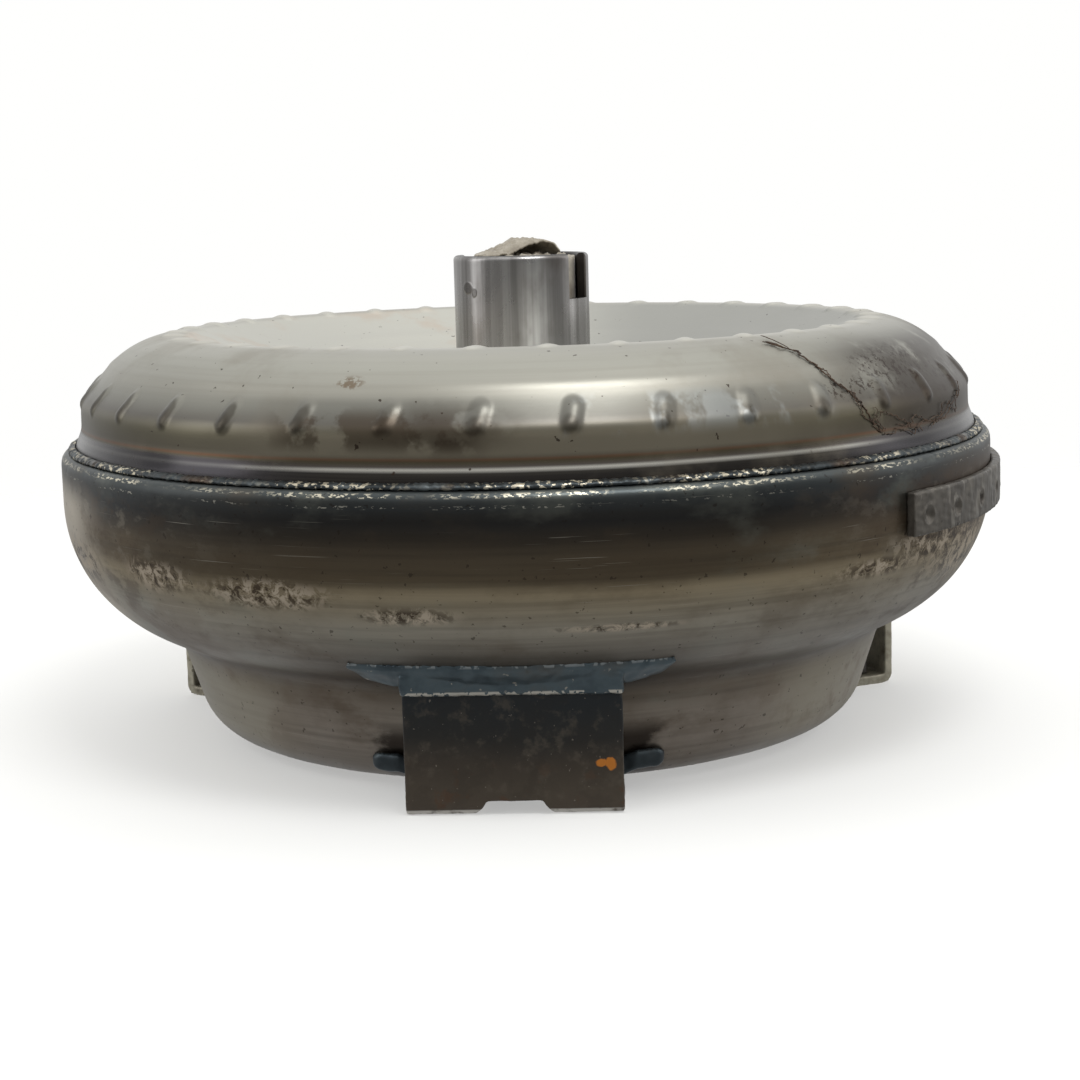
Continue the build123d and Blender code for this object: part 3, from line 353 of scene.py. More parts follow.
def impeller_paint():
    """Satin pressed steel with heat stains and a few specks of rust, with painted light and shade: a lighter
    front, painted shadow on the tab heads' lower halves, a painted highlight on the foot's bend and painted
    shade at its sides.
    """
    p = Paint("impeller_steel", 0.85)
    p.ramp(p.millimetres(0.25, 14), IMPELLER_BANDS, 88, 134)
    streak = p.noise(1, 4, 0.6, (10, 10, 700))
    p.lay("6d685c", 0.12, p.step(streak, 0.4, 0.75))
    cloud = p.noise(19, 5, 0.62)
    p.lay("7a7264", 0.35, p.step(cloud, 0.5, 0.68))
    # painted light and shade: the front is lighter above the foot and darker below the shoulder, the left is
    # darker above the foot, and the foot's sides are darker where its highlight does not reach
    front = p.sector(-42, -18, 24, 46)
    p.lay("8b8474", 0.75, front, p.band(104.8, 111.2, 1.2))
    p.lay("5b5a55", 0.45, front, p.band(114, 120, 1.5))
    p.lay("3f3c34", 0.38, p.step(p.angle(), -20, -34), p.band(104.8, 111.2, 1.2))
    foot_side_shade = p.less(1.0, p.sector(-34, -18, 34, 52))
    p.lay("302e32", 0.88, foot_side_shade, p.band(98, 103.4, 0.8))
    # painted shadow on the heads' lower halves, and painted shade over the whole head on the left; lengths are
    # in mm
    outer = p.step(p.radius(), 0.110, 0.114)
    away = p.times(p.repeat_angle(TAB_COUNT, TAB_PHASE), math.radians(WALL_R / MM))
    along = p.times(p.less(p.z, TAB_Z), WALL_RUN / MM)
    lean = math.radians(TAB_LEAN)
    side = p.less(p.times(away, math.cos(lean)), p.times(along, math.sin(lean)))
    up = p.plus(p.times(away, math.sin(lean)), p.times(along, math.cos(lean)))
    a = p.over(p.plus(side, 0.5), 2.4)
    b = p.over(p.plus(up, 2.4), 3.2)
    wobble = p.sway(p.noise(260, 3), 0.4)
    head_shadow = p.step(p.plus(p.squares(a, b), wobble), 1.3, 0.3)
    p.lay("2c261d", 0.45, head_shadow, outer)
    c = p.over(side, 2.5)
    d = p.over(up, 4.6)
    shade = p.step(p.plus(p.squares(c, d), wobble), 1.1, 0.4)
    p.lay("3a352d", 0.62, shade, outer, p.step(p.angle(), -6, -24))
    # painted light: the dish lighter where it faces up, with painted shade over its right half; a warm tint on
    # the left
    dish = p.step(p.radius(), 0.1125, 0.109)
    p.lay("c9c8bf", 0.85, dish)
    p.lay("9a9a95", 0.85, dish, p.step(p.x, -0.015, 0.045))
    p.lay("c2a892", 0.35, dish, p.step(cloud, 0.5, 0.62), p.step(p.x, 0.0, -0.03))
    # painted highlight along the crest's top edge
    crest = p.step(p.z, CREST_Z - 1.4 * MM, CREST_Z - 0.5 * MM)
    p.lay("dedcd3", 0.5, crest, p.step(p.radius(), 0.109, 0.112))
    blots = p.step(p.noise(58, 5, 0.62), 0.44, 0.54)
    p.lay("3d3226", 0.7, blots, outer, p.band(107, 117, 2.5), p.sector(-29, -23, -5, -1))
    burnt = p.times(outer, p.spot(-5.6, 112, 5.5, 6, 0.7), p.step(p.noise(90, 4), 0.36, 0.5))
    p.lay("33291f", 0.7, burnt)
    patchy = p.step(p.noise(40, 5, 0.65), 0.28, 0.5)
    p.lay("352c24", 0.85, p.sector(36, 56, 100, 130), p.band(103.5, 129, 4), outer, patchy)
    p.lay("6a5a47", 0.8, p.spot(-18.2, 124.2, 1.7, 1.6, 0.4), p.step(p.noise(420, 3), 0.42, 0.52))
    rust = p.strongest([p.spot(56, 121, 8, 6), p.spot(70, 115, 8, 8), p.spot(45, 117, 5, 3)])
    p.lay("2c1d14", 0.8, rust, outer, p.step(p.noise(480, 5, 0.72), 0.53, 0.58))
    p.lay("2c2018", 0.85, p.flecks(420, 0.006))
    # grey film, rubbed lighter
    smears = p.step(p.noise(75, 4, 0.6, (1, 1, 0.45)), 0.48, 0.58)
    p.lay("a9aeae", 0.3, smears, p.band(110, 120, 2), p.sector(4, 9, 34, 42))
    p.bump(streak, 0.03, 0.4)
    p.bump(p.noise(45, 2), 0.3, 0.15)
    p.bump(p.noise(700, 2), 0.04, 0.25)
    rough = p.plus(p.step(cloud, 0.3, 0.8, 0.34, 0.46), p.times(burnt, 0.08))
    rough = p.less(rough, p.times(p.band(99, 103.4, 0.6), 0.16))
    return p.finish(rough)


def weld_paint():
    """Blue-grey bead, smooth, with bright spatter along its toe and crown and a darker low end."""
    p = Paint("weld_metal", 0.7)
    cloud = p.noise(70, 4, 0.6)
    p.ramp(cloud, [(0.3, "39444b"), (0.5, "4e5a60"), (0.65, "53595b"), (0.8, "463d35")])
    p.lay("c4c0b6", 0.8, p.band(35.4, 36.7, 0.25), p.flecks(420, 0.24, (1, 1, 0.6)))
    p.lay("9aa0a2", 0.6, p.band(44.6, 45.6, 0.3), p.flecks(300, 0.2, (1, 1, 0.6)))
    p.lay("b9b2a6", 0.6, p.flecks(330, 0.05), p.band(37, 43, 1.5))
    p.lay("1f1a17", 0.45, p.step(p.z, 0.016, 0.011))
    p.bump(p.noise(150, 3), 0.12, 0.3)
    return p.finish(p.step(cloud, 0.3, 0.7, 0.34, 0.46))


def seam_paint():
    """Girth bead, blue-black with small torn flecks gathered in clusters."""
    p = Paint("seam_metal", 0.8)
    cloud = p.noise(90, 4, 0.6)
    p.ramp(cloud, [(0.3, "202426"), (0.55, "3a3f41"), (0.75, "62686a")])
    cluster = p.step(p.noise(34, 2), 0.36, 0.62)
    p.lay("d8cfb8", 0.8, p.flecks(560, 0.17, (1, 1, 1.6)), cluster)
    p.lay("4e3a28", 0.5, p.step(p.noise(48, 3), 0.58, 0.68))
    p.bump(p.noise(420, 3), 0.2, 0.5)
    return p.finish(p.step(cloud, 0.3, 0.7, 0.3, 0.44))


def bracket_paint():
    """Blue-black mill scale, browner towards the foot, with one dab of orange paint."""
    p = Paint("bracket_steel", 0.5)
    bands = [(0, "51483e"), (7, "4b4339"), (16, "3f3830"), (23, "2a2927"), (33, "23272a"), (42, "292f33")]
    p.ramp(p.millimetres(4.0, 25), bands, 0, 50)
    grain = p.noise(240, 4, 0.6)
    p.lay("5d554a", 0.4, p.step(grain, 0.5, 0.7))
    p.lay("2b2620", 0.18, p.step(p.noise(110, 4, 0.6), 0.52, 0.40))
    p.lay("553c2a", 0.5, p.step(p.noise(170, 4), 0.58, 0.68), p.step(p.z, 0.020, 0.004))
    p.lay("8d857a", 0.45, p.flecks(800, 0.012))
    # worn bottom edge, and a painted highlight along its bend
    p.lay("cfccc6", 0.8, p.step(p.z, 2.0 * MM, 1.5 * MM), p.step(p.noise(160, 3), 0.34, 0.5))
    dab = paint_dab(p)
    p.lay("b9722a", 1.0, dab)
    p.bump(grain, 0.06, 0.4)
    p.bump(p.noise(60, 2), 0.3, 0.2)
    p.bump(dab, 0.2, 0.4)
    return p.finish(p.step(grain, 0.3, 0.7, 0.40, 0.56))


def rear_bracket_lightened_paint():
    """Grey-green oiled steel of the two brackets at the back, painted lighter as painted light on their inner
    faces, which lie in the cover's shade.
    """
    p = Paint("bracket_steel_rear_lightened", 0.35)
    grain = p.noise(240, 4, 0.6)
    p.ramp(grain, [(0.3, "8a8575"), (0.5, "aaa594"), (0.7, "bdb8a6")])
    p.lay("4d4335", 0.5, p.step(p.noise(90, 4), 0.5, 0.62))
    p.lay("2c251d", 0.6, p.flecks(500, 0.02))
    p.bump(grain, 0.06, 0.4)
    p.bump(p.noise(60, 2), 0.3, 0.2)
    return p.finish(p.step(grain, 0.3, 0.7, 0.40, 0.56))


def paint_dab(p):
    """Mask of the paint dab: two blots side by side, low on the right of the front plate."""
    wobble = p.sway(p.noise(450, 3), 0.6)
    marks = []
    for across, up, wide, tall in ((24.9, 15.2, 1.7, 1.1), (27.5, 14.9, 1.6, 1.9)):
        a = p.over(p.less(p.x, across * MM), wide * MM)
        b = p.over(p.less(p.z, up * MM), tall * MM)
        far = p.math("SQRT", p.squares(a, b))
        marks.append(p.step(p.plus(far, wobble), 1.1, 0.8))
    front = p.step(p.y, -PLATE_FACE + 1.2 * MM, -PLATE_FACE + 0.6 * MM)
    return p.times(p.strongest(marks), front)


def weight_paint():
    """Dull dark strip, scuffed upright."""
    p = Paint("weight_steel", 0.75)
    cloud = p.noise(120, 4, 0.6)
    p.ramp(cloud, [(0.3, "45413c"), (0.55, "5b5751"), (0.75, "736e66")])
    p.lay("85817a", 0.5, p.flecks(1, 0.13, (300, 300, 80)))
    p.lay("2a231e", 0.7, p.flecks(260, 0.05))
    p.bump(cloud, 0.25, 0.4)
    return p.finish(p.step(cloud, 0.3, 0.7, 0.38, 0.5))


def hub_paint():
    """Ground sleeve with faint upright reflections, water marks and knocks."""
    p = Paint("hub_steel", 0.95)
    upright = p.noise(1, 3, 0.6, (260, 260, 5))
    p.ramp(upright, [(0.3, "6f6d6b"), (0.5, "918f8e"), (0.7, "b0afae")])
    cloud = p.noise(70, 4, 0.55, (1, 1, 0.5))
    p.lay("57504a", 0.5, p.step(cloud, 0.48, 0.7))
    p.lay("a3a4a3", 0.35, p.step(p.z, HUB_TOP - 24 * MM, HUB_TOP - 34 * MM))
    rings = p.noise(1, 2, 0.5, (6, 6, 1500))
    # painted shade inside the bore and on the slots' walls
    p.lay("2b2826", 0.85, p.step(p.radius(), HUB_R - 0.3 * MM, HUB_R - 0.9 * MM))
    knocks = p.strongest([p.spot(-49, 144.5, 6, 1.9, 0.2), p.spot(-41, 143.0, 3, 1.6, 0.2)])
    p.lay("3f3b37", 0.6, knocks)
    p.bump(rings, 0.02, 0.5)
    p.bump(knocks, 0.3, 0.4)
    return p.finish(p.step(cloud, 0.3, 0.7, 0.24, 0.36))


# ---------------------------------------------------------------- materials of the inside

def plain_metal(name, dark, light, rough, scale, metallic=1.0, relief=0.05):
    """Metal with a mottled tone, a fine grain and an uneven gloss."""
    p = Paint(name, metallic)
    cloud = p.noise(scale, 4, 0.6)
    p.ramp(cloud, [(0.3, dark), (0.7, light)])
    p.bump(cloud, relief, 0.5)
    p.bump(p.noise(scale * 7, 2), relief / 2, 0.4)
    return p.finish(p.step(cloud, 0.3, 0.7, rough, rough + 0.12))


def turned_metal(name, dark, light, rough):
    """Metal with the fine rings of a lathe tool about the axis."""
    p = Paint(name, 1.0)
    grooves = p.math("SINE", p.times(p.plus(p.radius(), p.z), TAU / (0.35 * MM)))
    cloud = p.noise(70, 3)
    p.ramp(cloud, [(0.3, dark), (0.7, light)])
    p.bump(grooves, 0.01, 0.4)
    p.bump(p.noise(500, 2), 0.02, 0.3)
    return p.finish(p.step(cloud, 0.3, 0.7, rough, rough + 0.1))


def friction_paint():
    """Woven friction paper, oil-dark."""
    p = Paint("friction_paper", 0.0)
    waves = [p.math("SINE", p.times(axis, TAU / (1.1 * MM))) for axis in (p.x, p.y)]
    weave = p.times(*waves)
    p.colour = tone("4a3626")
    p.lay("6e5238", 1.0, p.step(weave, -0.6, 0.6))
    p.bump(weave, 0.15, 0.5)
    return p.finish(p.step(p.noise(80), 0.3, 0.7, 0.7, 0.85))


def plastic_paint():
    """Filled polymer of the seal ring and washer."""
    p = Paint("seal_plastic", 0.0)
    cloud = p.noise(240, 3)
    p.ramp(cloud, [(0.3, "262624"), (0.7, "3a3936")])
    p.bump(cloud, 0.03, 0.4)
    return p.finish(p.step(cloud, 0.3, 0.7, 0.4, 0.52))


def wipe_paint(name, light, mid, dark):
    """Oily paper wipe: a fibrous weave with stains."""
    p = Paint(name, 0.0)
    stain = p.noise(130, 4, 0.6)
    p.ramp(stain, [(0.3, light), (0.55, mid), (0.75, dark)])
    fibre = p.noise(1, 3, 0.6, (1500, 700, 900))
    p.lay(dark, 0.25, p.step(fibre, 0.5, 0.7))
    p.bump(fibre, 0.12, 0.5)
    p.bump(stain, 0.5, 0.3)
    p.shader.inputs["Sheen Weight"].default_value = 0.2
    return p.finish(p.step(stain, 0.3, 0.7, 0.75, 0.55))


# ---------------------------------------------------------------- mesh helpers

def added(name, mesh, body, slot, *materials):
    """Puts a mesh in the scene as a smooth piece that rides on a body."""
    piece = bpy.data.objects.new(name, mesh)
    bpy.context.scene.collection.objects.link(piece)
    mesh.materials.clear()
    for material in materials:
        mesh.materials.append(material)
    mesh.polygons.foreach_set("use_smooth", np.ones(len(mesh.polygons), bool))
    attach(piece, body)
    return piece


def section(node, angle):
    """Outline of a turned CAD node as (radius, height) points in order, cut at an angle from -Y."""
    cut = bmesh.new()
    cut.from_mesh(frame["nodes"][node].data)
    bmesh.ops.remove_doubles(cut, verts=cut.verts, dist=1e-6)
    out = Vector((math.sin(angle), -math.cos(angle), 0))
    across = Vector((math.cos(angle), math.sin(angle), 0))
    everything = cut.verts[:] + cut.edges[:] + cut.faces[:]
    made = bmesh.ops.bisect_plane(cut, geom=everything, dist=1e-7, plane_co=(0, 0, 0), plane_no=across)
    near = {}
    for edge in made["geom_cut"]:
        if not isinstance(edge, bmesh.types.BMEdge):
            continue
        if sum(v.co.dot(out) for v in edge.verts) <= 0:
            continue
        a, b = edge.verts
        near.setdefault(a, []).append(b)
        near.setdefault(b, []).append(a)
    ends = [v for v, others in near.items() if len(others) == 1]
    here = min(ends or near, key=lambda v: (v.co.z, v.co.dot(out)))
    order = [here]
    seen = {here}
    while True:
        ahead = [v for v in near[order[-1]] if v not in seen]
        if not ahead:
            break
        order.append(ahead[0])
        seen.add(ahead[0])
    points = np.array([(max(v.co.dot(out), 0.0), v.co.z) for v in order])
    closed = not ends
    cut.free()
    return points, closed


def even(points, closed, spacing, passes=3):
    """The outline with evenly spaced points, its corners slightly eased."""
    loop = np.vstack([points, points[:1]]) if closed else points
    lengths = np.r_[0, np.cumsum(np.hypot(*np.diff(loop, axis=0).T))]
    count = max(int(lengths[-1] / spacing), 8)
    places = np.linspace(0, lengths[-1], count, endpoint=not closed)
    spaced = np.column_stack([np.interp(places, lengths, loop[:, i]) for i in (0, 1)])
    for _ in range(passes):
        if closed:
            spaced = (np.roll(spaced, 1, 0) + 2 * spaced + np.roll(spaced, -1, 0)) / 4
        else:
            spaced[1:-1] = (spaced[:-2] + 2 * spaced[1:-1] + spaced[2:]) / 4
    return spaced


def turned_mesh(name, outline, closed, segments, relief=None):
    """Mesh turned about the axis from an outline; relief(angle, radius, height, normal) lifts its surface."""
    if closed:
        run = np.roll(outline, -1, 0) - np.roll(outline, 1, 0)
    else:
        run = np.gradient(outline, axis=0)
    run /= np.maximum(np.hypot(*run.T), 1e-9)[:, None]
    turn = outline - outline.mean(0)
    area = np.sum(turn[:, 0] * np.roll(turn[:, 1], -1) - np.roll(turn[:, 0], -1) * turn[:, 1])
    normal = np.column_stack([run[:, 1], -run[:, 0]]) * (1 if area > 0 else -1)
    angle = np.linspace(0, TAU, segments, endpoint=False)[:, None]
    radius = np.tile(outline[:, 0], (segments, 1))
    height = np.tile(outline[:, 1], (segments, 1))
    if relief:
        lift = relief(angle, radius, height, normal)
        lift = np.where(outline[:, 0] > 1e-4, lift, 0.0)
        radius = radius + lift * normal[:, 0]
        height = height + lift * normal[:, 1]
    count = len(outline)
    points = np.stack([radius * np.sin(angle), -radius * np.cos(angle), height], -1).reshape(-1, 3)
    column = np.arange(count if closed else count - 1)
    row = np.arange(segments)[:, None]
    a = row * count + column
    b = row * count + (column + 1) % count
    c = (row + 1) % segments * count + (column + 1) % count
    d = (row + 1) % segments * count + column
    faces = np.stack([a, d, c, b] if area > 0 else [a, b, c, d], -1).reshape(-1, 4)
    mesh = bpy.data.meshes.new(name)
    mesh.from_pydata(points, [], faces.tolist())
    if not closed:
        weld = bmesh.new()
        weld.from_mesh(mesh)
        bmesh.ops.remove_doubles(weld, verts=weld.verts, dist=1e-7)
        bmesh.ops.dissolve_degenerate(weld, edges=weld.edges, dist=1e-7)
        weld.to_mesh(mesh)
        weld.free()
    return mesh


def wave_sum(seed, terms, spin, rise):
    """A smooth uneven field: waves, fewer than spin round the axis, that climb up to rise radians a metre."""
    draw = np.random.default_rng(seed)
    rounds = draw.integers(1, spin, terms)
    climbs = draw.uniform(-rise, rise, terms)
    phases = draw.uniform(0, TAU, terms)

    def field(angle, height):
        total = 0.0
        for n, k, phase in zip(rounds, climbs, phases):
            total = total + np.cos(n * angle + k * height + phase)
        return total / math.sqrt(terms)
    return field


def grain_field(seed, terms, scale):
    """A smooth uneven field in space, of about unit size, with waves about scale long."""
    draw = np.random.default_rng(seed)
    ways = draw.normal(0, TAU / scale, (terms, 3))
    phases = draw.uniform(0, TAU, terms)

    def field(points):
        return np.cos(points @ ways.T + phases).sum(1) / math.sqrt(terms)
    return field


def refined(node, name, voxel, smoothing, slot, material, relief=None, shape=None):
    """A finer, eased copy of a CAD node; shape(points) moves its points, then relief(points) lifts them."""
    start = frame["nodes"][node].data.copy()
    weld = bmesh.new()
    weld.from_mesh(start)
    bmesh.ops.remove_doubles(weld, verts=weld.verts, dist=1e-6)
    weld.to_mesh(start)
    weld.free()
    rough = bpy.data.objects.new(name + "_start", start)
    bpy.context.scene.collection.objects.link(rough)
    remesh = rough.modifiers.new("remesh", "REMESH")
    remesh.mode = "VOXEL"
    remesh.voxel_size = voxel
    ease = rough.modifiers.new("ease", "SMOOTH")
    ease.factor = 0.5
    ease.iterations = smoothing
    graph = bpy.context.evaluated_depsgraph_get()
    mesh = bpy.data.meshes.new_from_object(rough.evaluated_get(graph))
    mesh.name = name
    bpy.data.objects.remove(rough)
    if relief:
        points = np.empty(len(mesh.vertices) * 3)
        normals = np.empty(len(mesh.vertices) * 3)
        mesh.vertices.foreach_get("co", points)
        mesh.vertices.foreach_get("normal", normals)
        points, normals = points.reshape(-1, 3), normals.reshape(-1, 3)
        if shape:
            shape(points)
        points += normals * relief(points)[:, None]
        mesh.vertices.foreach_set("co", points.ravel())
        mesh.update()
    piece = added(name, mesh, HOUSING, slot, material)
    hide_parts(node)


# ---------------------------------------------------------------- turned pieces

def capsules(angle, radius, phase, along):
    """Height of a ring of raised capsules: along is the distance up the outline from their middles."""
    pitch = TAU / TAB_COUNT
    away = ((angle - math.radians(phase) + pitch / 2) % pitch - pitch / 2) * radius
    lean = math.radians(TAB_LEAN)
    side = away * math.cos(lean) - along * math.sin(lean)
    up = away * math.sin(lean) + along * math.cos(lean)
    far = np.hypot(side, np.maximum(np.abs(up) - TAB_HALF, 0))
    share = np.clip(1 - (far / TAB_ROUND) ** 2, 0, 1)
    return TAB_HEIGHT * share ** 1.5


def impeller_relief(angle, radius, height, normal):
    """Tab heads in two rings on the outer face, the shoulder's crease, and the waviness of pressed sheet."""
    outer = np.where(normal[:, 0] * 0.6 + normal[:, 1] > 0.2, 1.0, 0.0)
    wall = capsules(angle, radius, TAB_PHASE, (height - TAB_Z) * WALL_RUN)
    crest = capsules(angle, radius, CREST_TAB_PHASE, CREST_TAB_R - radius) * 0.8
    on_wall = (height < 125 * MM) & (radius > 125 * MM)
    heads = np.where(on_wall, wall, np.where(height > CREST_Z - 3.5 * MM, crest, 0))
    fade = np.clip((radius - 95 * MM) / (30 * MM), 0, 1)
    waves = wave_sum(3, 14, 40, 300)(angle, height) * 0.035 * MM * fade
    crease = np.exp(-((height - CREASE_Z) / (1.1 * MM)) ** 2) * outer * 0.16 * MM
    return heads * outer + crease + waves


def cover_relief(angle, radius, height, normal):
    """Waviness of the pressed cover and small knocks on its lip."""
    waves = wave_sum(5, 16, 30, 250)(angle, height) * 0.04 * MM
    knocks = np.maximum(wave_sum(6, 30, 500, 900)(angle, height) - 0.9, 0) * 0.18 * MM
    lip = np.clip((height - (LIP_Z - 4.5 * MM)) / (3 * MM), 0, 1)
    return waves - knocks * lip


def seam_relief(angle, radius, height, normal):
    """Ripples and torn lumps of the girth bead."""
    ripple = np.cos(330 * angle + 3 * np.cos(7 * angle)) * 0.10 * MM
    lumps = wave_sum(8, 40, 620, 1500)(angle, height) * 0.13 * MM
    return ripple + lumps


def hub_weld_relief(angle, radius, height, normal):
    """Ripples of the ring bead at the hub."""
    ripple = np.cos(76 * angle + 1.5 * np.cos(5 * angle)) * 0.12 * MM
    return ripple + wave_sum(9, 20, 90, 900)(angle, height) * 0.08 * MM


def turned_piece(node, name, spacing, segments, slot, material, relief):
    """A turned CAD node built again as a fine mesh with relief."""
    points, closed = section(node, CLEAR_ANGLE)
    outline = even(points, closed, spacing)
    piece = added(name, turned_mesh(name, outline, closed, segments, relief), HOUSING, slot, material)
    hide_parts(node)
    return piece, outline


def hub():
    """The pump hub turned finely, with its two drive slots cut in."""
    points, closed = section("impeller_hub", 0.0)
    piece = added("hub_sleeve", turned_mesh("hub_sleeve", even(points, closed, 0.5 * MM, 1), closed, 360),
                  HOUSING, "hub_steel", hub_paint())
    cutter = bpy.data.meshes.new("slot_cutter")
    shape = bmesh.new()
    bmesh.ops.create_cube(shape, size=1.0)
    shape.to_mesh(cutter)
    shape.free()
    block = bpy.data.objects.new("slot_cutter", cutter)
    block.scale = (SLOT_WIDTH, 4 * HUB_R, 2 * SLOT_DEPTH)
    block.rotation_euler = (0, 0, math.radians(SLOT_ANGLE))
    block.location = (0, 0, HUB_TOP)
    bpy.context.scene.collection.objects.link(block)
    cut = piece.modifiers.new("slots", "BOOLEAN")
    cut.operation = "DIFFERENCE"
    cut.solver = "EXACT"
    cut.object = block
    graph = bpy.context.evaluated_depsgraph_get()
    mesh = bpy.data.meshes.new_from_object(piece.evaluated_get(graph))
    piece.modifiers.clear()
    piece.data = mesh
    mesh.set_sharp_from_angle(angle=math.radians(35))
    bpy.data.objects.remove(block)
    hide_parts("impeller_hub")


# ---------------------------------------------------------------- fibre

STRAND_SIDES = 6


def strand(mesh, places, thick, index):
    """Adds a tube of some radius through places, tapering at its ends."""
    run = np.gradient(places, axis=0)
    turns = [k * TAU / STRAND_SIDES for k in range(STRAND_SIDES)]
    rings = []
    for i, (place, way) in enumerate(zip(places, run)):
        way = Vector(way).normalized()
        side = way.orthogonal().normalized()
        other = way.cross(side)
        size = thick * min(1.0, 0.35 + 0.2 * min(i, len(places) - 1 - i))
        spokes = [(side * math.cos(t) + other * math.sin(t)) * size for t in turns]
        rings.append([mesh.verts.new(Vector(place) + spoke) for spoke in spokes])
    for near, far in zip(rings, rings[1:]):
        # the far ring is turned to lie closest to the near one, so the tube doesn't twist
        def apart(shift):
            return sum((near[k].co - far[(k + shift) % STRAND_SIDES].co).length for k in range(STRAND_SIDES))
        shift = min(range(STRAND_SIDES), key=apart)
        for k in range(STRAND_SIDES):
            after = (k + 1) % STRAND_SIDES
            c, d = far[(after + shift) % STRAND_SIDES], far[(k + shift) % STRAND_SIDES]
            mesh.faces.new((near[k], near[after], c, d)).material_index = index
    for ring in (rings[0][::-1], rings[-1]):
        mesh.faces.new(ring).material_index = index


def fibres(piece, outline):
    """Limp fibre stuck on the shell from the crest to the foot, with loose hairs at its end."""
    face = outline[(outline[:, 0] > CREST_TAB_R) & (outline[:, 1] > LIP_Z)]
    face = face[np.argsort(face[:, 1])]
    levels = np.arange(LIP_Z + 3 * MM, CREST_Z - 1 * MM, 0.5 * MM)
    widths = np.array([face[np.abs(face[:, 1] - z) < 0.6 * MM, 0].max() for z in levels])
    draw = np.random.default_rng(17)

    def lay(way, count, stray, lift):
        """Points on the shell through (degrees, height in mm) places."""
        way = np.array(way)
        share = np.linspace(0, len(way) - 1, count)
        degrees = np.interp(share, range(len(way)), way[:, 0])
        height = np.interp(share, range(len(way)), way[:, 1]) * MM
        sway = np.convolve(draw.normal(0, stray, count + 8), np.ones(9) / 9, "valid")
        turn = np.radians(degrees + sway)
        height = height + np.convolve(draw.normal(0, stray * 1.5 * MM, count + 8), np.ones(9) / 9, "valid")
        out = np.interp(height, levels, widths) + lift
        return np.column_stack([out * np.sin(turn), -out * np.cos(turn), height])

    mesh = bmesh.new()
    mesh.from_mesh(piece.data)
    main = [(37.2, 131.0), (39.6, 127.5), (41.0, 124), (42.2, 120.5),
            (43.4, 116.5), (44.6, 112), (46.2, 107), (47.6, 104)]
    strand(mesh, lay(main, 110, 0.9, 0.1 * MM), 0.20 * MM, 1)
    strand(mesh, lay(main, 110, 1.0, 0.3 * MM), 0.14 * MM, 1)
    strand(mesh, lay([(36.0, 131.1), (37.4, 130.6), (38.2, 129.6)], 14, 0.6, 0.4 * MM), 0.32 * MM, 1)
    hairs = (
        [(46.0, 108), (48.5, 109.5), (51.5, 107), (53.5, 104), (56.0, 103)],
        [(45.5, 110), (47.0, 106), (50.0, 103), (54.0, 102.5), (60.0, 104.5), (63.5, 108)],
        [(50.0, 104), (55.0, 105.5), (61.0, 104), (66.0, 107), (69.0, 112)],
        [(58.0, 103), (62.0, 103.5), (67.0, 106), (70.5, 110), (70.0, 116)],
    )
    for way in hairs:
        strand(mesh, lay(way, 70, 1.6, 0.5 * MM), 0.13 * MM, 1)
    mesh.to_mesh(piece.data)
    mesh.free()
    piece.data.materials.append(plain_metal("fibre", "2a1d14", "54402e", 0.7, 300, 0.0))


# ---------------------------------------------------------------- wipe

